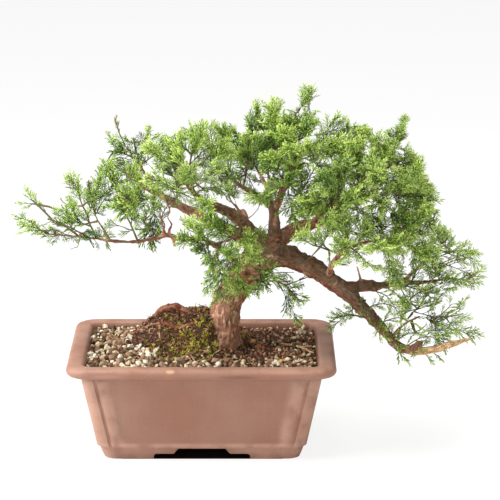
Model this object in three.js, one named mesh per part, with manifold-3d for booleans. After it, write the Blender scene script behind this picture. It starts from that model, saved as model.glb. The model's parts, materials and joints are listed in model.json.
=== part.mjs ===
// Shimpaku juniper bonsai in a rectangular clay pot, in millimetres with +Z up.
// Every place below is measured from the middle of the pot's foot at ground level: +X runs to the
// viewer's right along the pot and +Y runs away from the viewer. The last lines then set the
// finished group on the middle of its own footprint.
import * as THREE from 'three';
import { mergeVertices } from 'three/addons/utils/BufferGeometryUtils.js';
import Module from 'manifold-3d';

const wasm = await Module();
wasm.setup();

// Driving dimensions of the pot
const lipHalf = { x: 150, y: 112.5 };
const lipWidth = 19;
const lipCornerRadius = 24;
const potHeight = 113;
const floorTop = 20;
const underFloor = 12;
const footHalf = { x: 110, y: 77 };
const footBand = 16;
const footWall = 11;
const bodyBottomHalf = { x: 117.5, y: 84 };
const bodyTopHalf = { x: 134.5, y: 98 };
const bodyTop = 99;
const postRadius = 14;
const groove = { depth: 2.2, middle: 1.6, width: 4 };
const panel = { depth: 1.8, strip: 10, slope: 4 };
const footCut = { step: 4.6, slope: 5, frontHalf: [54, 27], sideHalf: [38, 17] };
const cavityBottomHalf = { x: 108, y: 75 };
const cavityCornerRadius = 11;
const cavityChamfer = 4;
const drainHole = { radius: 10, x: 52 };

// Driving dimensions of the filling
const gap = 0.35;
const screen = { size: 34, thickness: 1.2, holesAcross: 2, barWidth: 2.4 };
const soilEdge = 106.5;
const soilCornerRadius = 14;
const mound = { x: -16, y: 20, height: 38, reachX: 62, reachY: 50 };
const soilRipple = 1.3;
const heapRings = [0.08, 0.23, 0.39, 0.54, 0.68, 0.81, 0.92];
const sidePieces = 4;

// Driving dimensions of the foliage
const twigRadius = { root: 1.5, tip: 0.8 };
const sprigRadius = { root: 0.95, tip: 0.65 };
const leafStep = 8.8;
const forkLength = 2.6;
const leafHeight = 10.5;
const leafLean = 11.5;
const leafRadius = { root: 1.8, tip: 0.2 };
const whorls = 3;
const clearance = 0.4;
const barkGap = 0.6;
const sprigLength = 37;
const usualSprigs = 3;
const mostSprigs = 4;
const usualLift = 0.25;

// Random numbers from 0 to 1 that come out the same on every run.
function seeded(seed) {
  let state = seed >>> 0;
  return () => {
    state = (state + 0x6d2b79f5) >>> 0;
    let mixed = Math.imul(state ^ (state >>> 15), 1 | state);
    mixed = (mixed + Math.imul(mixed ^ (mixed >>> 7), 61 | mixed)) ^ mixed;
    return ((mixed ^ (mixed >>> 14)) >>> 0) / 4294967296;
  };
}

// A skin is a list of points and of faces, three point numbers to a face, that grows ring by ring.
// Each ring runs anticlockwise as seen from the way the skin grows.
const newSkin = () => ({ points: [], faces: [] });

const addRing = (skin, ring) => ring.map((point) => skin.points.push(point) - 1);

function addFlat(skin, ring) {
  for (let corner = 1; corner < ring.length - 1; corner += 1) {
    skin.faces.push(ring[0], ring[corner], ring[corner + 1]);
  }
}

function addPoint(skin, ring, point) {
  const top = skin.points.push(point) - 1;
  ring.forEach((corner, side) => skin.faces.push(corner, ring[(side + 1) % ring.length], top));
}

// Four-cornered faces between two rings, each filled flat or in the way that fill gives.
function addBand(skin, near, far, fill = (face) => addFlat(skin, face)) {
  near.forEach((corner, side) => {
    const next = (side + 1) % near.length;
    fill([corner, near[next], far[next], far[side]], side);
  });
}

function skinGeometry({ points, faces }) {
  return new THREE.BufferGeometry().setFromPoints(points).setIndex(faces);
}

// A closed skin over a row of rings, flat at its near end and flat or in a tip at its far end.
function loft(rings, tip = null) {
  const skin = newSkin();
  const rows = rings.map((ring) => addRing(skin, ring));
  addFlat(skin, [...rows[0]].reverse());
  rows.slice(1).forEach((row, index) => addBand(skin, rows[index], row));
  if (tip) addPoint(skin, rows.at(-1), tip);
  else addFlat(skin, rows.at(-1));
  return skinGeometry(skin);
}

function solidOf(geometry) {
  const bare = geometry.clone();
  bare.deleteAttribute('normal');
  bare.deleteAttribute('uv');
  const merged = mergeVertices(bare, 1e-4);
  return new wasm.Manifold(
    new wasm.Mesh({
      numProp: 3,
      vertProperties: new Float32Array(merged.attributes.position.array),
      triVerts: new Uint32Array(merged.index.array),
    }),
  );
}

function geometryOf(solid) {
  const { vertProperties, triVerts } = solid.getMesh();
  const geometry = new THREE.BufferGeometry();
  geometry.setAttribute('position', new THREE.BufferAttribute(new Float32Array(vertProperties), 3));
  geometry.setIndex(new THREE.BufferAttribute(new Uint32Array(triVerts), 1));
  return geometry.toNonIndexed();
}

const joined = (solids) => solids.reduce((sum, solid) => sum.add(solid));

const group = new THREE.Group();

function place(name, geometry, colour, roughness) {
  geometry.computeVertexNormals();
  const material = new THREE.MeshStandardMaterial({ color: colour, roughness, metalness: 0 });
  const mesh = new THREE.Mesh(geometry, material);
  mesh.name = name;
  group.add(mesh);
}

// Pot

// A rectangle with round corners at one height, anticlockwise from above.
function roundRectangle(half, radius, z, arcSteps) {
  const ring = [];
  for (let corner = 0; corner < 4; corner += 1) {
    const signX = corner === 0 || corner === 3 ? 1 : -1;
    const signY = corner < 2 ? 1 : -1;
    for (let step = 0; step <= arcSteps; step += 1) {
      const angle = (corner + step / arcSteps) * (Math.PI / 2);
      const x = signX * (half.x - radius) + radius * Math.cos(angle);
      const y = signY * (half.y - radius) + radius * Math.sin(angle);
      ring.push(new THREE.Vector3(x, y, z));
    }
  }
  return ring;
}

// The body's outline at one height: round corner posts, a groove beside each post, then a strip and
// a sunk panel.
function bodyOutline(half, z, grooveDepth, panelDepth) {
  const stripEnd = postRadius + groove.width + panel.strip;
  const alongSide = [
    [stripEnd + panel.slope, panelDepth],
    [stripEnd, 0],
    [postRadius + groove.width, 0],
    [postRadius + groove.middle, grooveDepth],
  ];
  const quarter = alongSide.map(([back, sunk]) => [half.x - sunk, half.y - back]);
  for (let step = 0; step <= 3; step += 1) {
    const angle = (step * Math.PI) / 6;
    const x = half.x - postRadius + postRadius * Math.cos(angle);
    const y = half.y - postRadius + postRadius * Math.sin(angle);
    quarter.push([x, y]);
  }
  quarter.push(...alongSide.reverse().map(([back, sunk]) => [half.x - back, half.y - sunk]));
  const flipped = [...quarter].reverse();
  const ring = [
    ...quarter,
    ...flipped.map(([x, y]) => [-x, y]),
    ...quarter.map(([x, y]) => [-x, -y]),
    ...flipped.map(([x, y]) => [x, -y]),
  ];
  return ring.map(([x, y]) => new THREE.Vector3(x, y, z));
}

const between = (from, to, share) => ({
  x: from.x + (to.x - from.x) * share,
  y: from.y + (to.y - from.y) * share,
});

const inset = (half, by) => ({ x: half.x - by, y: half.y - by });

const cavityTopHalf = inset(lipHalf, lipWidth);

// The cavity's half size at a height, which the soil follows too.
function cavityHalf(z) {
  return between(cavityBottomHalf, cavityTopHalf, (z - floorTop) / (potHeight - floorTop));
}

// The opening through a foot band: a wide low step and a narrower high one with sloping ends.
function footOpening([lowHalf, highHalf], depth, turned) {
  const { step, slope } = footCut;
  const cut = new THREE.Shape();
  cut.moveTo(-lowHalf, -1);
  cut.lineTo(lowHalf, -1);
  cut.lineTo(lowHalf - 2, step);
  cut.lineTo(highHalf + slope, step);
  cut.lineTo(highHalf, underFloor);
  cut.lineTo(-highHalf, underFloor);
  cut.lineTo(-highHalf - slope, step);
  cut.lineTo(2 - lowHalf, step);
  const bar = new THREE.ExtrudeGeometry(cut, { depth: 2 * depth, bevelEnabled: false });
  bar.translate(0, 0, -depth);
  bar.rotateX(Math.PI / 2);
  if (turned) bar.rotateZ(Math.PI / 2);
  return solidOf(bar);
}

function makePot() {
  const flare = (z, grooveDepth, panelDepth) => {
    const share = (z - footBand) / (bodyTop - footBand);
    return bodyOutline(between(bodyBottomHalf, bodyTopHalf, share), z, grooveDepth, panelDepth);
  };
  const footTop = inset(bodyBottomHalf, 3);
  const body = loft([
    bodyOutline(footHalf, 0, 0, 0),
    bodyOutline(footTop, footBand - 2.5, 0, 0),
    flare(footBand + 0.5, groove.depth, 0),
    flare(footBand + 11, groove.depth, panel.depth),
    flare(bodyTop - 5, groove.depth, panel.depth),
    flare(bodyTop + 4, 0, 0),
  ]);
  const lipRing = (z, by) => roundRectangle(inset(lipHalf, by), lipCornerRadius - by, z, 4);
  const lip = loft([
    lipRing(bodyTop - 1, 15),
    lipRing(bodyTop + 2, 4),
    lipRing(bodyTop + 5, 0.6),
    lipRing(bodyTop + 8, 0),
    lipRing(potHeight - 2, 1.4),
    lipRing(potHeight, 5.5),
  ]);
  const cavityRing = (half, wider, z) =>
    roundRectangle(inset(half, -wider), cavityCornerRadius + wider, z, 4);
  const chamferTop = floorTop + cavityChamfer;
  const bevelBottom = potHeight - 2.5;
  const cavity = loft([
    cavityRing(cavityBottomHalf, -cavityChamfer, floorTop),
    cavityRing(cavityHalf(chamferTop), 0, chamferTop),
    cavityRing(cavityHalf(bevelBottom), 0, bevelBottom),
    cavityRing(cavityTopHalf, 2.5, potHeight + 0.5),
  ]);
  const recess = loft([
    roundRectangle(inset(footHalf, footWall), 6, -1, 2),
    roundRectangle(inset(footHalf, footWall), 6, underFloor, 2),
  ]);
  let pot = solidOf(body).add(solidOf(lip)).subtract(solidOf(cavity)).subtract(solidOf(recess));
  pot = pot.subtract(footOpening(footCut.frontHalf, lipHalf.y, false));
  pot = pot.subtract(footOpening(footCut.sideHalf, lipHalf.x, true));
  for (const side of [-1, 1]) {
    const hole = new THREE.CylinderGeometry(drainHole.radius, drainHole.radius, 2 * floorTop, 14);
    hole.rotateX(Math.PI / 2);
    hole.translate(side * drainHole.x, 0, floorTop);
    pot = pot.subtract(solidOf(hole));
  }
  place('pot', geometryOf(pot), 0xb58673, 0.85);
}

// Drain screens

function makeScreens() {
  const { size, thickness, holesAcross, barWidth } = screen;
  const pitch = (size - barWidth) / holesAcross;
  const firstHole = -size / 2 + barWidth / 2 + pitch / 2;
  for (const [name, side] of [['drain_mesh_left', -1], ['drain_mesh_right', 1]]) {
    let plate = solidOf(new THREE.BoxGeometry(size, size, thickness));
    for (let row = 0; row < holesAcross; row += 1) {
      for (let column = 0; column < holesAcross; column += 1) {
        const hole = new THREE.BoxGeometry(pitch - barWidth, pitch - barWidth, 2 * thickness);
        hole.translate(firstHole + column * pitch, firstHole + row * pitch, 0);
        plate = plate.subtract(solidOf(hole));
      }
    }
    const geometry = geometryOf(plate);
    geometry.translate(side * drainHole.x, 0, floorTop + gap + thickness / 2);
    place(name, geometry, 0x2d3230, 0.6);
  }
}

// Wood

// Height of the soil's top: nearly level, with a heap over the old root mass left of the trunk.
function soilHeight(x, y) {
  const fall = ((x - mound.x) / mound.reachX) ** 2 + ((y - mound.y) / mound.reachY) ** 2;
  return soilEdge + mound.height * Math.exp(-fall * fall);
}

// A point of a surface root, a little above or below the soil's top: place, then radius.
const overSoil = (x, y, lift, radius) => [x, y, soilHeight(x, y) + lift, radius];

// Each limb is a row of points: place, then radius.
const limbs = {
  trunk: {
    sides: 10,
    steps: 12,
    ridge: 0.09,
    route: [
      [20, -4, 64, 14],
      [21, -6, 92, 21],
      [21, -8, 114, 24],
      [21, -7, 130, 22],
      [22, -4, 146, 20.5],
      [23, -1, 158, 20],
      [28, 0, 169, 18.5],
      [37, 1, 180, 18.5],
      [49, 2, 193, 20],
      [61, 4, 206, 19.5],
      [72, 6, 216, 17],
      [79, 7, 223, 11],
    ],
  },
  knot: {
    sides: 7,
    steps: 3,
    ridge: 0.06,
    route: [
      [52, 0, 198, 12],
      [51, -17, 200, 11],
      [51, -21, 200.5, 8],
    ],
  },
  right: {
    sides: 8,
    steps: 13,
    ridge: 0.06,
    route: [
      [58, 4, 206, 12],
      [78, 2, 217, 14],
      [101, -5, 213.5, 12.3],
      [125, -12, 204, 10.8],
      [146, -18, 191, 9.8],
      [166, -24, 176, 9],
      [183, -30, 160, 7.4],
      [200, -36, 143, 6],
      [213, -40, 128, 5],
      [225, -43, 119.5, 4.4],
      [239, -46, 117, 4],
      [255, -50, 119, 3.4],
      [277, -56, 127, 2.6],
      [300, -62, 136, 1.3],
    ],
  },
  rightUpper: {
    sides: 5,
    steps: 6,
    route: [
      [156, -21, 183, 4.6],
      [184, -10, 183, 4.4],
      [201, 0, 180.5, 3.9],
      [219, 8, 181, 3.3],
      [253, 20, 180, 2.3],
      [282, 30, 181, 1.4],
    ],
  },
  back: {
    sides: 6,
    steps: 9,
    ridge: 0.05,
    route: [
      [74, 5, 214, 9],
      [90, 20, 232, 8],
      [106, 30, 242, 6.6],
      [134, 45, 245, 5.2],
      [150, 55, 246, 4.4],
      [159, 60, 257, 3.7],
      [158, 65, 277, 2.9],
      [152, 68, 292, 2],
    ],
  },
  up: {
    sides: 6,
    steps: 8,
    ridge: 0.05,
    route: [
      [72, 6, 212, 10],
      [81, 12, 232, 7.8],
      [81, 22, 253, 6.5],
      [80, 27, 265, 5.6],
      [69, 30, 274, 4.6],
      [54, 32, 283, 3.6],
      [42, 34, 290, 2.6],
      [28, 36, 303, 1.5],
    ],
  },
  leader: {
    sides: 5,
    steps: 5,
    route: [
      [80, 25, 260, 5],
      [91, 30, 284, 4.4],
      [99, 32, 313, 3.6],
      [102, 34, 345, 2.6],
      [106, 37, 374, 1.4],
    ],
  },
  left: {
    sides: 6,
    steps: 8,
    ridge: 0.05,
    route: [
      [78, 5, 214, 9],
      [66, 2, 232, 7.4],
      [54, 0, 245, 6.6],
      [38, -8, 262, 5.6],
      [24, -17, 273, 4.6],
      [6, -26, 282, 3.6],
      [-8, -30, 294, 2.6],
      [-20, -32, 310, 1.6],
    ],
  },
  leftBack: {
    sides: 5,
    steps: 9,
    route: [
      [64, 6, 214, 8],
      [42, 15, 234, 6],
      [11, 30, 249, 5.2],
      [-6, 40, 254, 4.7],
      [-23, 48, 261, 4.1],
      [-49, 58, 273, 3.2],
      [-72, 64, 285, 2.2],
      [-90, 68, 300, 1.4],
    ],
  },
  leftLow: {
    sides: 4,
    steps: 13,
    route: [
      [46, 0, 200, 5],
      [30, -3, 218, 3.9],
      [14, -10, 230.5, 3.3],
      [-4, -20, 241, 2.9],
      [-21, -25, 240.5, 2.8],
      [-37, -28, 246, 2.6],
      [-60, -32, 242, 2.4],
      [-78, -34, 240, 2.2],
      [-100, -36, 241.5, 2],
      [-120, -38, 245, 1.8],
      [-156, -40, 249, 1.4],
      [-174, -40, 251, 1.1],
    ],
  },
  padArm: {
    sides: 4,
    steps: 5,
    route: [
      [62, 2, 234, 4.6],
      [56, -22, 244, 3.8],
      [47, -46, 251, 3],
      [36, -66, 252, 2.2],
      [22, -78, 249, 1.4],
    ],
  },
  middleArm: {
    sides: 4,
    steps: 5,
    route: [
      [126, 41, 244.5, 4],
      [142, 24, 266, 3.6],
      [160, 0, 284, 3],
      [180, -18, 292, 2.3],
      [202, -28, 300, 1.4],
    ],
  },
  farRightArm: {
    sides: 4,
    steps: 4,
    route: [
      [158, 62, 264, 3],
      [176, 54, 286, 2.7],
      [200, 38, 304, 2.2],
      [222, 24, 318, 1.4],
    ],
  },
  frontRightArm: {
    sides: 4,
    steps: 5,
    route: [
      [142, -17, 194, 4],
      [147, -34, 216, 3.4],
      [160, -46, 234, 2.8],
      [184, -44, 242, 2.2],
      [208, -36, 245, 1.4],
    ],
  },
  sideArm: {
    sides: 4,
    steps: 3,
    route: [
      [226, 11, 180.5, 2.6],
      [246, 16, 198, 2.2],
      [270, 20, 214, 1.4],
    ],
  },
  lowArm: {
    sides: 4,
    steps: 3,
    route: [
      [212, -39, 129, 3.4],
      [226, -28, 142, 2.6],
      [246, -18, 150, 1.5],
    ],
  },
  crownLeftArm: {
    sides: 4,
    steps: 3,
    route: [
      [97, 31, 306, 2.8],
      [84, 36, 330, 2.2],
      [70, 40, 352, 1.4],
    ],
  },
  crownRightArm: {
    sides: 4,
    steps: 3,
    route: [
      [100, 32, 322, 2.8],
      [122, 30, 336, 2.2],
      [146, 28, 346, 1.4],
    ],
  },
  leftRise: {
    sides: 4,
    steps: 4,
    route: [
      [-40, 55, 269, 2.8],
      [-58, 44, 290, 2.3],
      [-70, 34, 312, 1.9],
      [-74, 30, 328, 1.3],
    ],
  },
  backArm: {
    sides: 4,
    steps: 4,
    route: [
      [81, 24, 257, 4],
      [76, 52, 276, 3],
      [66, 78, 292, 2],
      [58, 92, 302, 1.3],
    ],
  },
  backRightArm: {
    sides: 4,
    steps: 4,
    route: [
      [150, 54, 246, 3.4],
      [164, 74, 260, 2.6],
      [180, 88, 272, 1.8],
      [190, 94, 280, 1.3],
    ],
  },
  rootArch: {
    sides: 5,
    steps: 8,
    ridge: 0.06,
    route: [
      [22, 0, 132, 8],
      overSoil(2, 12, 3, 6.2),
      overSoil(-14, 20, 2.5, 5.6),
      overSoil(-32, 24, 4.5, 5),
      overSoil(-52, 24, 2, 3.8),
      overSoil(-70, 20, -2, 2.6),
      overSoil(-82, 16, -9, 1.8),
    ],
  },
  rootAcross: {
    sides: 4,
    steps: 8,
    route: [
      [18, -6, 124, 6],
      overSoil(-6, -10, 0.5, 4.6),
      overSoil(-26, -16, 0.5, 3.6),
      overSoil(-44, -6, 1.5, 2),
      overSoil(-64, 4, 2, 1.7),
      overSoil(-84, 16, 1, 1.4),
      overSoil(-94, 20, -5, 1.2),
    ],
  },
  rootFront: {
    sides: 5,
    steps: 4,
    ridge: 0.06,
    route: [
      [24, -8, 136, 12],
      [23, -22, 120, 10],
      overSoil(21, -33, 0, 6.5),
      overSoil(19, -44, -8, 3.5),
    ],
  },
  rootRight: {
    sides: 5,
    steps: 4,
    ridge: 0.06,
    route: [
      [28, -6, 134, 11],
      [42, -10, 118, 8],
      overSoil(56, -15, -0.5, 5.2),
      overSoil(70, -20, -8, 3),
    ],
  },
  rootBack: {
    sides: 4,
    steps: 4,
    route: [
      [28, 0, 132, 10],
      [38, 14, 118, 7.5],
      overSoil(50, 28, -0.5, 4.8),
      overSoil(62, 40, -8, 2.8),
    ],
  },
  rootLeftFront: {
    sides: 4,
    steps: 5,
    route: [
      [20, -8, 130, 10],
      overSoil(4, -24, 1.5, 6),
      overSoil(-12, -38, 1, 4),
      overSoil(-28, -50, -1, 2.6),
      overSoil(-38, -56, -8, 1.8),
    ],
  },
};

const pointOf = ([x, y, z]) => new THREE.Vector3(x, y, z);

// A frame on a curve: the way forward, and a side that turns as little as it can from the hint.
function frameAt(curve, along, hint) {
  const forward = curve.getTangent(along);
  const side = hint.clone().addScaledVector(forward, -hint.dot(forward)).normalize();
  return { centre: curve.getPoint(along), forward, side, up: forward.clone().cross(side) };
}

// A ring round a frame. radiusAt gives the radius at an angle.
function ringOn({ centre, side, up }, sides, radiusAt) {
  return Array.from({ length: sides }, (_, corner) => {
    const angle = (corner / sides) * 2 * Math.PI;
    const offset = side.clone().multiplyScalar(Math.cos(angle)).addScaledVector(up, Math.sin(angle));
    return offset.multiplyScalar(radiusAt(angle)).add(centre);
  });
}

const limbHint = new THREE.Vector3(0.25, -0.9, 0.35);
const limbCurve = ({ route }) => new THREE.CatmullRomCurve3(route.map(pointOf), false, 'centripetal');

function limbRadius({ route }, along) {
  const place = Math.min(along, 0.9999) * (route.length - 1);
  const before = Math.floor(place);
  return THREE.MathUtils.lerp(route[before][3], route[before + 1][3], place - before);
}

// One limb as a solid, with long ridges that wind round it, and wider by margin all round.
function limbSolid(limb, margin) {
  const { sides, steps, ridge = 0 } = limb;
  const wider = margin / Math.cos(Math.PI / sides);
  const curve = limbCurve(limb);
  const rings = [];
  let hint = limbHint;
  for (let step = 0; step <= steps; step += 1) {
    const along = step / steps;
    const frame = frameAt(curve, along, hint);
    const radiusAt = (angle) =>
      limbRadius(limb, along) * (1 + ridge * Math.cos(3 * angle + 5 * along)) + wider;
    rings.push(ringOn(frame, sides, radiusAt));
    hint = frame.side;
  }
  return solidOf(loft(rings));
}

const woodAndMargin = joined(Object.values(limbs).map((limb) => limbSolid(limb, gap)));

function makeTrunk() {
  const wood = joined(Object.values(limbs).map((limb) => limbSolid(limb, 0)));
  place('trunk', geometryOf(wood.simplify(0.2)), 0x8a6a52, 0.9);
}

// Soil

// The soil's outline at one height, with points along its straight sides too.
function soilRing(half, z) {
  const arcSteps = 2;
  const corners = roundRectangle(inset(half, gap), soilCornerRadius - gap, z, arcSteps);
  return corners.flatMap((corner, index) => {
    const next = corners[(index + 1) % corners.length];
    const pieces = index % (arcSteps + 1) === arcSteps ? sidePieces : 1;
    return Array.from({ length: pieces }, (_, piece) => corner.clone().lerp(next, piece / pieces));
  });
}

function makeSoil() {
  const random = seeded(11);
  const bottom = floorTop + screen.thickness + 2 * gap;
  const chamferTop = floorTop + cavityChamfer + 1;
  const rim = soilRing(cavityHalf(soilEdge), soilEdge);
  const rings = [
    soilRing(inset(cavityBottomHalf, cavityChamfer - 1), bottom),
    soilRing(cavityHalf(chamferTop), chamferTop),
    rim,
  ];
  const heapTop = new THREE.Vector3(mound.x, mound.y, 0);
  for (const share of heapRings) {
    rings.push(
      rim.map((corner) => {
        const inner = corner.clone().lerp(heapTop, share);
        inner.z = soilHeight(inner.x, inner.y) + (random() - 0.5) * 2 * soilRipple;
        return inner;
      }),
    );
  }
  const crest = new THREE.Vector3(mound.x, mound.y, soilHeight(mound.x, mound.y));
  const heap = solidOf(loft(rings, crest)).subtract(woodAndMargin);
  const [largest] = heap.decompose().sort((one, other) => other.volume() - one.volume());
  place('soil', geometryOf(largest.simplify(0.1)), 0x6a5444, 0.95);
}

// Foliage

// Each spray grows from a limb, at a share of its length, and its twig reaches to a tip. lift bends
// its side sprigs up, or down where it is negative.
const sprays = [
  { name: 'left_tip_upper', limb: 'leftLow', at: 0.85, tip: [-189, -36, 287], sprigs: 2 },
  { name: 'left_tip_lower', limb: 'leftLow', at: 0.97, tip: [-188, -50, 262], sprigs: 2 },
  { name: 'left_low_front', limb: 'leftLow', at: 0.82, tip: [-164, -62, 276], sprigs: 2 },
  { name: 'left_low_high', limb: 'leftLow', at: 0.8, tip: [-144, -28, 309], sprigs: 4 },
  { name: 'left_low_back', limb: 'leftLow', at: 0.73, tip: [-128, 10, 278], sprigs: 2 },
  { name: 'left_mid_high', limb: 'leftLow', at: 0.6, tip: [-104, -18, 318] },
  { name: 'left_mid_front', limb: 'leftLow', at: 0.5, tip: [-84, -56, 298] },
  { name: 'left_up_outer', limb: 'leftRise', at: 0.8, tip: [-104, 30, 340] },
  { name: 'left_up_middle', limb: 'leftRise', at: 0.95, tip: [-79, 18, 352] },
  { name: 'left_up_inner', limb: 'leftRise', at: 0.7, tip: [-46, 26, 334] },
  { name: 'left_back_low', limb: 'leftBack', at: 0.72, tip: [-78, 86, 262], sprigs: 2 },
  { name: 'left_back_high', limb: 'leftBack', at: 0.6, tip: [-34, 66, 325], sprigs: 2 },
  { name: 'mid_left_outer', limb: 'left', at: 0.92, tip: [-30, -10, 349] },
  { name: 'mid_left_top', limb: 'left', at: 0.98, tip: [-4, -20, 366] },
  { name: 'mid_left_front', limb: 'left', at: 0.82, tip: [-14, -64, 326], sprigs: 4 },
  { name: 'mid_top_left', limb: 'up', at: 0.97, tip: [24, 10, 364] },
  { name: 'mid_top_right', limb: 'up', at: 0.8, tip: [54, 4, 348], sprigs: 4 },
  { name: 'mid_back', limb: 'backArm', at: 0.35, tip: [72, 72, 324], sprigs: 2 },
  { name: 'pad_left', limb: 'padArm', at: 0.9, tip: [-18, -86, 246] },
  { name: 'pad_front', limb: 'padArm', at: 0.97, tip: [6, -112, 232] },
  { name: 'pad_low', limb: 'padArm', at: 0.7, tip: [42, -92, 208], lift: -0.1 },
  { name: 'pad_right', limb: 'padArm', at: 0.4, tip: [80, -80, 232], lift: 0, sprigs: 4 },
  { name: 'pad_top', limb: 'padArm', at: 0.5, tip: [38, -76, 288], sprigs: 4 },
  { name: 'apex_top', limb: 'leader', at: 0.95, tip: [116, 38, 391] },
  { name: 'crown_left_outer', limb: 'crownLeftArm', at: 0.8, tip: [50, 38, 378] },
  { name: 'crown_left_inner', limb: 'crownLeftArm', at: 0.95, tip: [82, 28, 384] },
  { name: 'crown_front', limb: 'leader', at: 0.5, tip: [92, -20, 358], sprigs: 4 },
  { name: 'crown_right_inner', limb: 'crownRightArm', at: 0.85, tip: [148, 28, 380], sprigs: 4 },
  { name: 'crown_right_outer', limb: 'crownRightArm', at: 0.97, tip: [180, 18, 362] },
  { name: 'far_right_top', limb: 'farRightArm', at: 0.8, tip: [216, 18, 359] },
  { name: 'far_right_end', limb: 'farRightArm', at: 0.97, tip: [242, 12, 338] },
  { name: 'far_right_low', limb: 'farRightArm', at: 0.7, tip: [262, 30, 300], sprigs: 4 },
  { name: 'middle_top', limb: 'leader', at: 0.68, tip: [124, -34, 344], sprigs: 4 },
  { name: 'middle_left', limb: 'leader', at: 0.36, tip: [98, -50, 316], sprigs: 4 },
  { name: 'middle_front', limb: 'middleArm', at: 0.5, tip: [140, -68, 312], sprigs: 4 },
  { name: 'middle_high', limb: 'middleArm', at: 0.7, tip: [170, -30, 344], sprigs: 4 },
  { name: 'middle_low', limb: 'middleArm', at: 0.92, tip: [196, -78, 292] },
  { name: 'middle_under', limb: 'middleArm', at: 0.62, tip: [158, -58, 272], lift: 0, sprigs: 4 },
  { name: 'middle_end', limb: 'middleArm', at: 0.97, tip: [246, -26, 290], sprigs: 4 },
  { name: 'front_right_left', limb: 'frontRightArm', at: 0.42, tip: [111, -72, 254], sprigs: 4 },
  { name: 'front_right_middle', limb: 'frontRightArm', at: 0.66, tip: [156, -92, 250] },
  { name: 'front_right_end', limb: 'frontRightArm', at: 0.97, tip: [252, -32, 256] },
  { name: 'front_right_front', limb: 'frontRightArm', at: 0.82, tip: [216, -76, 246] },
  { name: 'side_upper', limb: 'sideArm', at: 0.85, tip: [286, 14, 250], sprigs: 4 },
  { name: 'side_end', limb: 'sideArm', at: 0.97, tip: [304, 28, 222] },
  { name: 'side_lower', limb: 'rightUpper', at: 0.96, tip: [313, 28, 184], sprigs: 2 },
  { name: 'side_back', limb: 'rightUpper', at: 0.7, tip: [262, 72, 214], sprigs: 2 },
  { name: 'low_upper', limb: 'lowArm', at: 0.7, tip: [254, 10, 172], sprigs: 4 },
  { name: 'low_middle', limb: 'rightUpper', at: 0.62, tip: [286, -16, 180], lift: 0 },
  { name: 'low_end', limb: 'lowArm', at: 0.97, tip: [298, -34, 158], sprigs: 4 },
  { name: 'low_left', limb: 'right', at: 0.5, tip: [150, -44, 156], sprigs: 1, lift: 0 },
  { name: 'drooping', limb: 'trunk', at: 0.72, tip: [111, -74, 183], lift: -0.35 },
  { name: 'back_left', limb: 'backArm', at: 0.95, tip: [36, 118, 334], sprigs: 2 },
  { name: 'back_middle', limb: 'backArm', at: 0.75, tip: [100, 112, 340], sprigs: 2 },
  { name: 'back_right', limb: 'backRightArm', at: 0.95, tip: [216, 112, 300], sprigs: 2 },
];

// A bone is a straight piece of stem, leaf or limb with a radius at each end. Bones tell how near
// two things come before either is made.
const bones = [];

function bone(start, end, startRadius, endRadius) {
  const centre = start.clone().add(end).multiplyScalar(0.5);
  const reach = start.distanceTo(end) / 2 + Math.max(startRadius, endRadius);
  return { start, end, startRadius, endRadius, centre, reach };
}

function spaceBetween(first, second) {
  const away = first.centre.distanceTo(second.centre) - first.reach - second.reach;
  if (away > clearance) return away;
  const one = first.end.clone().sub(first.start);
  const two = second.end.clone().sub(second.start);
  const offset = first.start.clone().sub(second.start);
  const [oneOne, twoTwo, oneTwo] = [one.dot(one), two.dot(two), one.dot(two)];
  const [oneOffset, twoOffset] = [one.dot(offset), two.dot(offset)];
  const spread = oneOne * twoTwo - oneTwo * oneTwo;
  const clamp = (value) => THREE.MathUtils.clamp(value, 0, 1);
  let share = spread > 1e-9 ? clamp((oneTwo * twoOffset - oneOffset * twoTwo) / spread) : 0;
  const other = (oneTwo * share + twoOffset) / twoTwo;
  const otherShare = clamp(other);
  if (other !== otherShare) share = clamp((oneTwo * otherShare - oneOffset) / oneOne);
  const nearest = first.start.clone().addScaledVector(one, share);
  const distance = nearest.distanceTo(second.start.clone().addScaledVector(two, otherShare));
  const radii =
    THREE.MathUtils.lerp(first.startRadius, first.endRadius, share) +
    THREE.MathUtils.lerp(second.startRadius, second.endRadius, otherShare);
  return distance - radii;
}

const isClear = (pieces, others) =>
  pieces.every((piece) => others.every((other) => spaceBetween(piece, other) > clearance));

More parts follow.
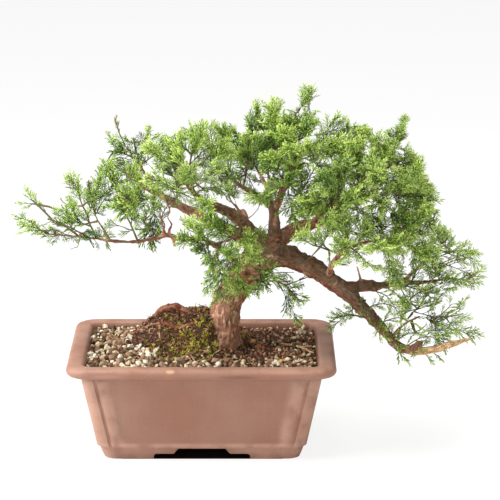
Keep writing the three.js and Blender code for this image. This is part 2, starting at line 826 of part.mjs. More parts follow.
// A leafy stem is four-sided. It is first planned as rings, leaf points and bones, so that it can be
// tried before it is made. Stations are the shares of its curve where rings stand, and the faces
// after leafyFrom are each raised into a leaf that leans forward.
function planStem({ path, stations, leafyFrom, radius, hint, random }) {
  const curve = new THREE.CatmullRomCurve3(path, false, 'centripetal');
  const radiusAt = (along) => THREE.MathUtils.lerp(radius.root, radius.tip, along);
  const frames = [];
  for (const along of stations) {
    frames.push(frameAt(curve, along, frames.at(-1)?.side ?? hint));
  }
  const rings = frames.map((frame, step) => ringOn(frame, 4, () => radiusAt(stations[step])));
  const vary = () => 0.8 + 0.4 * random();
  const stems = [];
  const leaves = [];
  const apexes = [];
  for (let step = 0; step + 1 < stations.length; step += 1) {
    const [from, to] = [frames[step].centre, frames[step + 1].centre];
    stems.push(bone(from, to, radiusAt(stations[step]), radiusAt(stations[step + 1])));
    if (step < leafyFrom) continue;
    const middle = from.clone().add(to).multiplyScalar(0.5);
    const taper = 1 - (0.3 * (step - leafyFrom)) / (stations.length - leafyFrom);
    const whorl = [];
    for (let side = 0; side < 4; side += 1) {
      const next = (side + 1) % 4;
      const face = rings[step][side].clone().add(rings[step][next]);
      face.add(rings[step + 1][side]).add(rings[step + 1][next]).multiplyScalar(0.25);
      const outward = face.clone().sub(middle).normalize();
      const apex = face.clone();
      apex.addScaledVector(outward, leafHeight * taper * vary());
      apex.addScaledVector(frames[step].forward, leafLean * taper * vary());
      whorl.push(apex);
      leaves.push(bone(face, apex, leafRadius.root, leafRadius.tip));
    }
    apexes.push(whorl);
  }
  const { centre: end, forward } = frames.at(-1);
  const tip = end.clone().addScaledVector(forward, leafLean * 0.8);
  leaves.push(bone(end, tip, radius.tip, leafRadius.tip));
  return { curve, rings, leafyFrom, apexes, tip, stems, leaves };
}

// Stations for the leafy faces at the end of a stem, and the share where they begin.
function leafyStations(length) {
  const leafyShare = Math.min(0.8, (whorls * leafStep) / length);
  const stations = Array.from({ length: whorls }, (_, whorl) => 1 - leafyShare * (1 - (whorl + 1) / whorls));
  return { leafyStart: 1 - leafyShare, stations };
}

// Adds a planned stem to a skin, from a ring that is there already.
function addStem(skin, root, { rings, leafyFrom, apexes, tip, forks = [] }) {
  let near = root;
  rings.slice(1).forEach((ring, step) => {
    const far = addRing(skin, ring);
    const fork = forks.find((other) => other.step === step);
    addBand(skin, near, far, (face, side) => {
      const sprig = fork?.sprigs[side];
      if (sprig) addStem(skin, face, sprig);
      else if (step >= leafyFrom) addPoint(skin, face, apexes[step - leafyFrom][side]);
      else addFlat(skin, face);
    });
    near = far;
  });
  addPoint(skin, near, tip);
}

const up = new THREE.Vector3(0, 0, 1);

// How far along a line from a limb's middle a point is clear of the limb's bark.
function outOfLimb(point, direction, root, limbForward, radius) {
  const across = point.clone().sub(root);
  across.addScaledVector(limbForward, -across.dot(limbForward));
  const leaving = direction.clone().addScaledVector(limbForward, -direction.dot(limbForward));
  const [square, mixed] = [leaving.lengthSq(), leaving.dot(across)];
  const depth = Math.max(0, mixed * mixed + square * (radius * radius - across.lengthSq()));
  return (Math.sqrt(depth) - mixed) / square;
}

// The spray's own twig, from its limb's bark to its tip, moved about a little until it is clear.
function growTwig(spray, random) {
  const limb = limbs[spray.limb];
  const limbPath = limbCurve(limb);
  const root = limbPath.getPoint(spray.at);
  const limbForward = limbPath.getTangent(spray.at);
  const bark = limbRadius(limb, spray.at) * (1 + (limb.ridge ?? 0)) + barkGap;
  const { lift = usualLift } = spray;
  for (let attempt = 0; attempt < 80; attempt += 1) {
    const jitter = () => (random() - 0.5) * 0.7 * attempt;
    const tip = pointOf(spray.tip).add(new THREE.Vector3(jitter(), jitter(), jitter()));
    const direction = tip.clone().sub(root).normalize();
    const start = root.clone();
    start.addScaledVector(direction, outOfLimb(root, direction, root, limbForward, bark));
    const length = start.distanceTo(tip);
    const sag = length * (lift > 0 ? -0.05 : 0.1);
    const through = (share) =>
      start.clone().lerp(tip, share).add(new THREE.Vector3(jitter(), jitter(), sag + jitter()));
    const { leafyStart, stations } = leafyStations(length);
    const forkShare = forkLength / length;
    const forkPlaces = length > 65 ? [0.3, 0.6, 0.9] : [0.4, 0.9];
    const forks = forkPlaces.map((forkPlace, index) => ({
      step: 2 * index + 1,
      at: forkPlace * (leafyStart - forkShare),
    }));
    const forkStations = forks.flatMap(({ at }) => [at, at + forkShare]);
    const twig = planStem({
      path: [start, through(0.4), through(0.72), tip],
      stations: [0, ...forkStations, ...stations],
      leafyFrom: forkStations.length,
      radius: twigRadius,
      hint: new THREE.Vector3(0.3, 0.4, 0.86),
      random,
    });
    twig.rings[0] = twig.rings[0].map((corner) =>
      corner.clone().addScaledVector(direction, outOfLimb(corner, direction, root, limbForward, bark)),
    );
    const otherBones = bones.filter((other) => other.limb !== limb);
    if (!isClear([...twig.stems, ...twig.leaves], otherBones)) continue;
    if (!isClear([...twig.stems.slice(2), ...twig.leaves], bones)) continue;
    for (const fork of forks) {
      fork.sprigs = [];
      fork.nearBones = twig.stems.slice(fork.step - 1, fork.step + 2);
    }
    return { ...twig, forks };
  }
  throw new Error(`no room for the twig of ${spray.name}`);
}

// One try at a side sprig from a face at a fork. It leaves the twig at an angle, then bends along
// it and to the light.
function trySprig(twig, fork, side, lift, random) {
  const [near, far] = [twig.rings[fork.step], twig.rings[fork.step + 1]];
  const next = (side + 1) % 4;
  const face = [near[side], near[next], far[next], far[side]];
  const root = face.reduce((sum, corner) => sum.add(corner), new THREE.Vector3()).multiplyScalar(0.25);
  const forward = twig.curve.getTangent(fork.at);
  const outward = face[1].clone().sub(face[0]).cross(forward).normalize();
  const sideways = forward.clone().cross(outward);
  const lean = 0.75 + 0.5 * random();
  const heading = forward.clone().multiplyScalar(Math.cos(lean)).addScaledVector(outward, Math.sin(lean));
  heading.addScaledVector(sideways, (random() - 0.5) * 0.9).normalize();
  const bend = forward.clone().multiplyScalar(0.35).addScaledVector(up, lift);
  const length = sprigLength * (0.8 + 0.4 * random());
  const middle = root.clone().addScaledVector(heading, length * 0.5);
  const end = middle.clone().addScaledVector(heading.clone().add(bend).normalize(), length * 0.5);
  const { leafyStart, stations } = leafyStations(length);
  return planStem({
    path: [root, middle, end],
    stations: [0, leafyStart, ...stations],
    leafyFrom: 1,
    radius: sprigRadius,
    hint: face[0].clone().sub(root),
    random,
  });
}

// Of many tries at a side sprig, the clear one that stands farthest from all other leafy stems.
function growSprig(twig, fork, lift, leafyMiddles, random) {
  const besideFork = bones.filter((other) => !fork.nearBones.includes(other));
  let best = null;
  for (let attempt = 0; attempt < 48; attempt += 1) {
    const side = attempt % 4;
    if (fork.sprigs[side]) continue;
    const sprig = trySprig(twig, fork, side, lift, random);
    const middle = sprig.curve.getPoint(0.7);
    const room = Math.min(...leafyMiddles.map((other) => other.distanceTo(middle)));
    if (best && room <= best.room) continue;
    if (!isClear([sprig.stems[0]], besideFork)) continue;
    if (!isClear([...sprig.stems.slice(1), ...sprig.leaves], bones)) continue;
    best = { ...sprig, room, middle, side };
  }
  return best;
}

function addLimbBones() {
  for (const limb of Object.values(limbs)) {
    const curve = limbCurve(limb);
    const widest = 1 + (limb.ridge ?? 0);
    for (let step = 0; step < limb.steps; step += 1) {
      const [near, far] = [step / limb.steps, (step + 1) / limb.steps];
      const [nearRadius, farRadius] = [near, far].map((along) => limbRadius(limb, along) * widest);
      bones.push({ ...bone(curve.getPoint(near), curve.getPoint(far), nearRadius, farRadius), limb });
    }
  }
}

function makeSprays() {
  addLimbBones();
  const leafyMiddles = [];
  const twigs = sprays.map((spray, index) => {
    const twig = growTwig(spray, seeded(100 + index));
    bones.push(...twig.stems, ...twig.leaves);
    leafyMiddles.push(twig.curve.getPoint(0.85));
    return twig;
  });
  const random = seeded(7);
  for (let round = 0; round < mostSprigs; round += 1) {
    for (const [index, { sprigs = usualSprigs, lift = usualLift }] of sprays.entries()) {
      if (round >= sprigs) continue;
      const twig = twigs[index];
      const fork = twig.forks[(twig.forks.length - 1 + round) % twig.forks.length];
      const sprig = growSprig(twig, fork, lift, leafyMiddles, random);
      if (!sprig) continue;
      bones.push(...sprig.stems, ...sprig.leaves);
      leafyMiddles.push(sprig.middle);
      fork.sprigs[sprig.side] = sprig;
      fork.nearBones.push(sprig.stems[0]);
    }
  }
  for (const [index, { name }] of sprays.entries()) {
    const skin = newSkin();
    const root = addRing(skin, twigs[index].rings[0]);
    addFlat(skin, [...root].reverse());
    addStem(skin, root, twigs[index]);
    place(`spray_${name}`, skinGeometry(skin).toNonIndexed(), 0x5f8f45, 0.7);
  }
}

makePot();
makeScreens();
makeSoil();
makeTrunk();
makeSprays();

const bounds = new THREE.Box3().setFromObject(group);
const footprint = bounds.getCenter(new THREE.Vector3());
group.position.set(-footprint.x, -footprint.y, -bounds.min.z);

export default group;
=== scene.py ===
import json
import math
import random

import bmesh
import bpy
import numpy as np
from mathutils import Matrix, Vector, noise
from mathutils.bvhtree import BVHTree
from mathutils.kdtree import KDTree

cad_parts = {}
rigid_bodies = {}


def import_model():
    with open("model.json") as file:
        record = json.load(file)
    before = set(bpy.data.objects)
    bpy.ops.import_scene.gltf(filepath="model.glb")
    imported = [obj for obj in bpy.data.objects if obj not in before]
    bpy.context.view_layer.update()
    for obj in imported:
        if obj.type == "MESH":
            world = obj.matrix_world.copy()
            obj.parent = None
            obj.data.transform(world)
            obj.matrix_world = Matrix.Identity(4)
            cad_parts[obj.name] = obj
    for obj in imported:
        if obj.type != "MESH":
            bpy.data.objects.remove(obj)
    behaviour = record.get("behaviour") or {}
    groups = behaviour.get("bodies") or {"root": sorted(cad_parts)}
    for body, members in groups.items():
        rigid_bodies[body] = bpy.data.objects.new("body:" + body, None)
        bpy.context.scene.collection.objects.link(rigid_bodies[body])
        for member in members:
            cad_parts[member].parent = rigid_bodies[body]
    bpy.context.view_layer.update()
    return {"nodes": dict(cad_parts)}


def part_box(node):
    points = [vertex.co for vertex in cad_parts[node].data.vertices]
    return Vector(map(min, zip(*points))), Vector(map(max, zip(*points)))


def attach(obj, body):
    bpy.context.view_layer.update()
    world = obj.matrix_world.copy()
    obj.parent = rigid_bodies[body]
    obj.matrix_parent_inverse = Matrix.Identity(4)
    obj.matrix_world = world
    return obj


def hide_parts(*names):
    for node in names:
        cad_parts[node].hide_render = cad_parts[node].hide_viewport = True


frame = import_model()
scene = bpy.context.scene
noise.seed_set(7)  # the noise vectors would differ from run to run without it
eye = {"place": (53.85, -2929.9, 931.7), "downward": 13.61, "lens": 192.2}  # where the photo was taken from
potDistance = 3067  # from the eye to the pot, in mm

# Places and sizes below are in millimetres from the middle of the pot's foot, as in the solids.
potLow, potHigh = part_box("pot")
potMiddle = Vector(((potLow.x + potHigh.x) / 2, (potLow.y + potHigh.y) / 2, 0))


def fromPot(x, y, z):
    return potMiddle + Vector((x, y, z)) / 1000


def inPot(place):  # the other way round
    return (place - potMiddle) * 1000


def blendStep(low, high, value):  # smooth from 0 at low to 1 at high, where low may be the larger
    share = min(1, max(0, (value - low) / (high - low)))
    return share * share * (3 - 2 * share)


def newPiece(name, points, faces, material, attributes=None):
    mesh = bpy.data.meshes.new(name)
    mesh.from_pydata(points, [], faces)
    mesh.materials.append(material)
    for key, values in (attributes or {}).items():
        mesh.attributes.new(key, "FLOAT", "POINT").data.foreach_set("value", values)
    piece = bpy.data.objects.new(name, mesh)
    scene.collection.objects.link(piece)
    return piece


def newShape(name, points, faces, material, attributes=None):  # only for a tree to repeat
    shape = newPiece(name, points, faces, material, attributes)
    scene.collection.objects.unlink(shape)
    return shape


def bakeModifiers(piece):  # the evaluated result becomes the piece's own plain mesh
    bpy.context.view_layer.update()
    rough = piece.data
    seen = piece.evaluated_get(bpy.context.evaluated_depsgraph_get())
    piece.data = bpy.data.meshes.new_from_object(seen)
    piece.modifiers.clear()
    bpy.data.meshes.remove(rough)
    piece.data.name = piece.name


def shadeSmooth(piece, edgeAngle=None):
    piece.data.polygons.foreach_set("use_smooth", [True] * len(piece.data.polygons))
    if edgeAngle:
        piece.data.set_sharp_from_angle(angle=math.radians(edgeAngle))


# Shader helpers


def hexColour(code):  # a colour as it looks on screen, made linear
    parts = [int(code[at:at + 2], 16) / 255 for at in (0, 2, 4)]
    return [part / 12.92 if part < 0.04045 else ((part + 0.055) / 1.055) ** 2.4 for part in parts] + [1]


def addNode(tree, kind, inputs=None, **settings):
    node = tree.nodes.new(kind)
    for name, value in settings.items():
        setattr(node, name, value)
    for socket, value in (inputs or {}).items():
        if isinstance(value, bpy.types.NodeSocket):
            tree.links.new(value, node.inputs[socket])
        else:
            node.inputs[socket].default_value = value
    return node


def mixColours(tree, mask, first, second):
    return addNode(tree, "ShaderNodeMix", {0: mask, 6: first, 7: second}, data_type="RGBA").outputs[2]


def calculate(tree, operation, first, second=0.5):
    return addNode(tree, "ShaderNodeMath", {0: first, 1: second}, operation=operation).outputs[0]


def product(tree, first, second):
    return calculate(tree, "MULTIPLY", first, second)


def tinted(tree, colour, mask, code, amount=None):  # mixes in another colour where the mask is
    return mixColours(tree, product(tree, mask, amount) if amount else mask, colour, hexColour(code))


def readAttribute(tree, name, output="Fac"):
    return addNode(tree, "ShaderNodeAttribute", attribute_name=name).outputs[output]


def newGroup(name, kind, sockets, result):  # sockets are named, with their type and default
    group = bpy.data.node_groups.new(name, kind)
    for label, (socket, default) in sockets.items():
        made = group.interface.new_socket(label, in_out="INPUT", socket_type="NodeSocket" + socket)
        if default is not None:
            made.default_value = default
    group.interface.new_socket(result[0], in_out="OUTPUT", socket_type="NodeSocket" + result[1])
    return group, group.nodes.new("NodeGroupInput").outputs, group.nodes.new("NodeGroupOutput").inputs


def makeMottleGroup():  # soft patches or specks, as a mask
    sockets = {
        "Vector": ("Vector", None), "Scale": ("Float", 20.0), "Detail": ("Float", 3.0),
        "From": ("Float", 0.35), "To": ("Float", 0.65),
    }
    group, given, result = newGroup("mottle", "ShaderNodeTree", sockets, ("Mask", "Float"))
    inputs = {name: given[name] for name in ("Vector", "Scale", "Detail")}
    clouds = addNode(group, "ShaderNodeTexNoise", inputs)
    limits = {"Value": clouds.outputs["Fac"], "From Min": given["From"], "From Max": given["To"]}
    spread = addNode(group, "ShaderNodeMapRange", limits, interpolation_type="SMOOTHSTEP")
    group.links.new(spread.outputs["Result"], result["Mask"])
    return group


mottleGroup = makeMottleGroup()


def mottle(tree, vector, scale, low=0.35, high=0.65, detail=3.0):
    inputs = {"Vector": vector, "Scale": scale, "Detail": detail, "From": low, "To": high}
    return addNode(tree, "ShaderNodeGroup", inputs, node_tree=mottleGroup).outputs["Mask"]


def newMaterial(name, roughness, specular=0.3):
    material = bpy.data.materials.new(name)
    material.use_nodes = True
    tree = material.node_tree
    shader = tree.nodes["Principled BSDF"]
    shader.inputs["Roughness"].default_value = roughness
    shader.inputs["Specular IOR Level"].default_value = specular
    return material, tree, shader


def setBump(tree, shader, height, distance, strength=1.0):
    bump = addNode(tree, "ShaderNodeBump", {"Height": height, "Distance": distance, "Strength": strength})
    tree.links.new(bump.outputs["Normal"], shader.inputs["Normal"])


def objectPlace(tree, stretch=(1, 1, 1)):
    coordinates = addNode(tree, "ShaderNodeTexCoord").outputs["Object"]
    return addNode(tree, "ShaderNodeMapping", {"Vector": coordinates, "Scale": stretch}).outputs["Vector"]


# The clay pot

potLook = {
    "lipHalf": (150, 112.5),
    "lipCorner": 24,
    "height": 113,
    "floorTop": 20,
    "underFloor": 12,
    "footHalf": (110, 77),
    "footBand": 16,
    "footWall": 11,
    "bodyBottom": (117.5, 84),
    "bodyTop": (134.5, 98),
    "bodyTopZ": 99,
    "post": 14,
    "groove": 2.2,
    "panel": 1.8,
    "cavityBottom": (108, 75),
    "cavityTop": (131, 93.5),
    "cavityCorner": 11,
    "drainRadius": 10,
    "drainX": 52,
    "arcSteps": 9,
    "clay": "97705f",
    "warmClay": "926653",
    "paleClay": "bb927e",
    "darkClay": "765145",
    "underShadeClay": "241915",
    "marksAndHighlight": [  # marks on the lip, the pale streak at x 96 a painted highlight: place, half sizes in metres, colour
        ((-34, -111, 111.5), (0.006, 0.004, 0.003), "cfa583"),
        ((40, -111, 105), (0.026, 0.006, 0.0035), "7c5546"),
        ((96, -112, 110), (0.03, 0.006, 0.002), "a87d69"),
        ((-104, -112, 106), (0.02, 0.006, 0.003), "a67a66"),
    ],
}


def clayMaterial():
    look = potLook
    material, tree, shader = newMaterial("unglazedClay", 0.55, 0.35)
    place = objectPlace(tree)
    clouds = mottle(tree, place, 16, 0.3, 0.7, 4)
    streaks = mottle(tree, objectPlace(tree, (1, 1, 0.12)), 60, 0.45, 0.8)
    # painted highlight on the lip's top, the corner posts and the band above the foot, in patches, with some
    # wear
    patchyWearAndHighlight = product(tree, readAttribute(tree, "wear"), mottle(tree, place, 45, 0.25, 0.6))
    colour = mixColours(tree, clouds, hexColour(look["clay"]), hexColour(look["warmClay"]))
    colour = tinted(tree, colour, streaks, "a57d6a", 0.3)
    colour = tinted(tree, colour, patchyWearAndHighlight, look["paleClay"])
    # painted shade under the lip and on the inside of the pot
    colour = tinted(tree, colour, readAttribute(tree, "stain"), look["darkClay"])
    colour = tinted(tree, colour, mottle(tree, place, 900, 0.6, 0.72, 2), "7d5546", 0.45)
    colour = tinted(tree, colour, mottle(tree, place, 640, 0.64, 0.74, 2), "c9a891", 0.22)
    # lighter and darker marks on the lip, the one at x 96 a painted highlight
    for where, size, shade in look["marksAndHighlight"]:
        offset = addNode(tree, "ShaderNodeVectorMath", {0: place, 1: fromPot(*where)}, operation="SUBTRACT")
        near = addNode(tree, "ShaderNodeVectorMath", {0: offset.outputs[0], 1: size}, operation="DIVIDE")
        away = addNode(tree, "ShaderNodeVectorMath", {0: near.outputs[0]}, operation="LENGTH")
        patch = product(tree, calculate(tree, "SUBTRACT", 1.0, away.outputs["Value"]), 1.6)
        patch = addNode(tree, "ShaderNodeClamp", {"Value": patch, "Max": 0.8}).outputs[0]
        colour = tinted(tree, colour, patch, shade)
    # painted shade on the faces cut under and through the foot
    colour = tinted(tree, colour, readAttribute(tree, "damp"), look["underShadeClay"])
    tree.links.new(colour, shader.inputs["Base Color"])
    sheen = addNode(tree, "ShaderNodeMapRange", {"Value": clouds, "To Min": 0.45, "To Max": 0.62})
    tree.links.new(sheen.outputs["Result"], shader.inputs["Roughness"])
    grit = addNode(tree, "ShaderNodeTexNoise", {"Vector": place, "Scale": 1400.0, "Detail": 3.0})
    setBump(tree, shader, grit.outputs["Fac"], 0.00012, 0.5)
    return material


def potRing(half, corner, z, groove=0.0, panel=0.0, bulge=0.0):
    # one quarter of the outline, from the middle of a short side to the middle of a long one
    along = [  # distance behind the corner post, then how far the wall is sunk there
        (48, panel), (24, panel), (20, panel * 0.97), (18, panel * 0.6), (16, panel * 0.12),
        (14.4, -bulge * 0.3), (11, -bulge), (8, -bulge), (5.4, -bulge * 0.3), (4, groove * 0.3),
        (2.9, groove * 0.85), (1.8, groove), (0.8, groove * 0.8), (0.2, groove * 0.25),
    ]
    x, y = half[0] - corner, half[1] - corner
    quarter = [(half[0] - sunk, y - back, blendStep(23, 13, back)) for back, sunk in along]
    for step in range(potLook["arcSteps"] + 1):
        angle = step / potLook["arcSteps"] * math.pi / 2
        quarter.append((x + corner * math.cos(angle), y + corner * math.sin(angle), 1.0))
    quarter += [(x - back, half[1] - sunk, blendStep(23, 13, back)) for back, sunk in reversed(along)]
    flipped = quarter[::-1]
    outline = quarter + [(-x, y, post) for x, y, post in flipped] + [(-x, -y, post) for x, y, post in quarter]
    outline += [(x, -y, post) for x, y, post in flipped]
    return [(x, y, z, post) for x, y, post in outline]


def potProfile():  # rings from the sole up the outside, over the lip and down the inside, with wear and painted highlight, and painted shade
    look = potLook
    rings = []

    def flare(z, groove, panel, bulge, wear=0.0, stain=0.0):
        share = (z - look["footBand"]) / (look["bodyTopZ"] - look["footBand"])
        half = [low + (high - low) * share for low, high in zip(look["bodyBottom"], look["bodyTop"])]
        rings.append((potRing(half, look["post"], z, groove, panel, bulge), wear, stain))

    # the foot and the band above it are lighter; on the band above the foot this is a painted highlight
    outwards = ((0, -1.2), (0.5, -0.2), (1.4, 0), (6, 2.1), (10, 3.4), (12.4, 4.3), (13.6, 5), (14.8, 6.2))
    for z, out in outwards:
        half = [side + out for side in look["footHalf"]]
        rings.append((potRing(half, look["post"] + out * 0.5, z), 0.55, 0))
    for z, depth in ((16.2, 0.3), (17.4, 0.8), (19, 1)):
        flare(z, look["groove"] * depth, 0, 0.5 * depth, 0.7, 0)
    for z, depth in ((21.5, 0), (23.5, 0.25), (25.5, 0.8), (27.5, 1), (40, 1), (58, 1), (76, 1)):
        flare(z, look["groove"], look["panel"] * depth, 0.6)
    # the top of the body darker under the lip: a painted shadow of the lip
    for z, depth, stain in ((90, 1, 0), (95, 1, 0.12), (97.5, 0.7, 0.3), (99.3, 0.35, 0.4)):
        flare(z, look["groove"] * depth, look["panel"] * depth, 0.6 * depth, 0.1, stain)
    lip = [  # height, how far inward, painted shade under the lip
        (100.2, 13.5, 0.45), (100.6, 9, 0.35), (101.1, 5.5, 0.2), (102.2, 2.8, 0.1), (104, 1, 0),
        (106.4, 0.1, 0), (108.6, 0.3, 0), (110.4, 1.1, 0), (111.8, 2.6, 0), (112.7, 4.8, 0), (113, 7.6, 0),
        (112.9, 13, 0), (112.7, 16, 0), (112.1, 17.8, 0), (110.9, 18.8, 0.1),
    ]
    for z, inward, stain in lip:
        half = [side - inward for side in look["lipHalf"]]
        # the lip's top lighter towards the rim: a painted highlight, with some wear
        wear = 0.45 * blendStep(106, 113, z)
        rings.append((potRing(half, look["lipCorner"] - inward * 0.7, z), wear, stain))
    # the inside of the pot painted darker: painted shade
    for z in (106, 90, 60, 26, 22.5, 20.6, 20):
        share = (z - look["floorTop"]) / (look["height"] - look["floorTop"])
        chamfer = 4 * blendStep(26, 20, z)
        sizes = zip(look["cavityBottom"], look["cavityTop"])
        half = [low + (high - low) * share - chamfer for low, high in sizes]
        rings.append((potRing(half, look["cavityCorner"] - chamfer * 0.6, z), 0, 0.8))
    return rings


def cutter(name, outline, axis, start, end):  # a closed bar with this outline, to cut with
    count = len(outline)
    order = {"x": (2, 0, 1), "y": (0, 2, 1), "z": (0, 1, 2)}[axis]
    points = [fromPot(*[(a, b, depth)[part] for part in order]) for depth in (start, end) for a, b in outline]
    sides = [(i, (i + 1) % count, (i + 1) % count + count, i + count) for i in range(count)]
    # the faces this bar cuts are painted dark: painted shade under the pot
    damp = {"damp": [1.0] * len(points)}
    bar = newPiece(name, points, [list(range(count)), list(range(count, 2 * count))] + sides, clay, damp)
    mesh = bmesh.new()
    mesh.from_mesh(bar.data)
    bmesh.ops.recalc_face_normals(mesh, faces=mesh.faces)
    mesh.to_mesh(bar.data)
    return bar


def footOpening(low, high):  # a wide low step and a narrower high one with sloping ends
    half = [(low, -1), (low, 4.6), (low - 2.4, 6.8), (high + 5, 6.8), (high + 3.4, 8.2), (high, 13)]
    half.append((high - 1, 13.8))
    return half + [(-x, z) for x, z in reversed(half)]


def makePot():
    rings = potProfile()
    count = len(rings[0][0])
    points, faces, wear, stain = [], [], [], []
    for ring, ringWearAndHighlight, ringPaintedShade in rings:
        for x, y, z, post in ring:
            soft = noise.noise(Vector((x, y, z)) / 38) * 0.35
            outward = Vector((x, y, 0)).normalized() * soft * blendStep(0, 8, z)
            points.append(fromPot(x + outward.x, y + outward.y, z))
            # the corner posts lighter: a painted highlight
            wear.append(min(1, ringWearAndHighlight + 0.55 * post * blendStep(99, 96, z) * blendStep(14, 18, z)))
            stain.append(ringPaintedShade)
    for level in range(len(rings) - 1):
        for side in range(count):
            after = (side + 1) % count
            near, far = level * count, (level + 1) * count
            faces.append((near + side, near + after, far + after, far + side))
    faces += [list(range(count))[::-1], list(range((len(rings) - 1) * count, len(rings) * count))]
    pot = newPiece("clayPot", points, faces, clay, {"wear": wear, "stain": stain})
    pot.data.attributes.new("damp", "FLOAT", "POINT")
    look = potLook
    inner = [side - look["footWall"] for side in look["footHalf"]]
    recess = [(x, y) for x, y, z, post in potRing(inner, 6, 0)]
    cutters = [
        cutter("recess", recess, "z", -1, look["underFloor"]),
        cutter("frontOpening", footOpening(54, 27), "y", -130, 130),
        cutter("sideOpening", footOpening(38, 17), "x", -160, 160),
    ]
    for side in (-1, 1):
        angles = [turn / 16 * math.pi for turn in range(32)]
        radius, middle = look["drainRadius"], side * look["drainX"]
        hole = [(middle + radius * math.cos(angle), radius * math.sin(angle)) for angle in angles]
        cutters.append(cutter("drain", hole, "z", 6, 30))
    for bar in cutters:
        cut = pot.modifiers.new("cut", "BOOLEAN")
        cut.operation, cut.object, cut.solver = "DIFFERENCE", bar, "EXACT"
    bakeModifiers(pot)
    for bar in cutters:
        bpy.data.objects.remove(bar)
    shadeSmooth(pot, 38)
    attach(pot, "root")
    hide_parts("pot")
    return pot


clay = clayMaterial()
makePot()
print("pot made")

# The drain screens stay as the solids, with their own plastic

screenPlastic, screenTree, screenShader = newMaterial("screenPlastic", 0.5, 0.4)
screenMottle = mottle(screenTree, objectPlace(screenTree), 300)
screenColour = mixColours(screenTree, screenMottle, hexColour("2b302e"), hexColour("3a403d"))
screenTree.links.new(screenColour, screenShader.inputs["Base Color"])
for name in ("drain_mesh_left", "drain_mesh_right"):
    frame["nodes"][name].data.materials.clear()
    frame["nodes"][name].data.materials.append(screenPlastic)

# The soil's heap, which the roots and the granules follow

heap = {"edge": 106.5, "x": -16, "y": 20, "height": 38, "reachX": 62, "reachY": 50}


def soilHeight(x, y):
    fall = ((x - heap["x"]) / heap["reachX"]) ** 2 + ((y - heap["y"]) / heap["reachY"]) ** 2
    return heap["edge"] + heap["height"] * math.exp(-fall * fall)


def overSoil(x, y, lift, radius):  # a point of a surface root
    return (x, y, soilHeight(x, y) + lift, radius)


# The wood

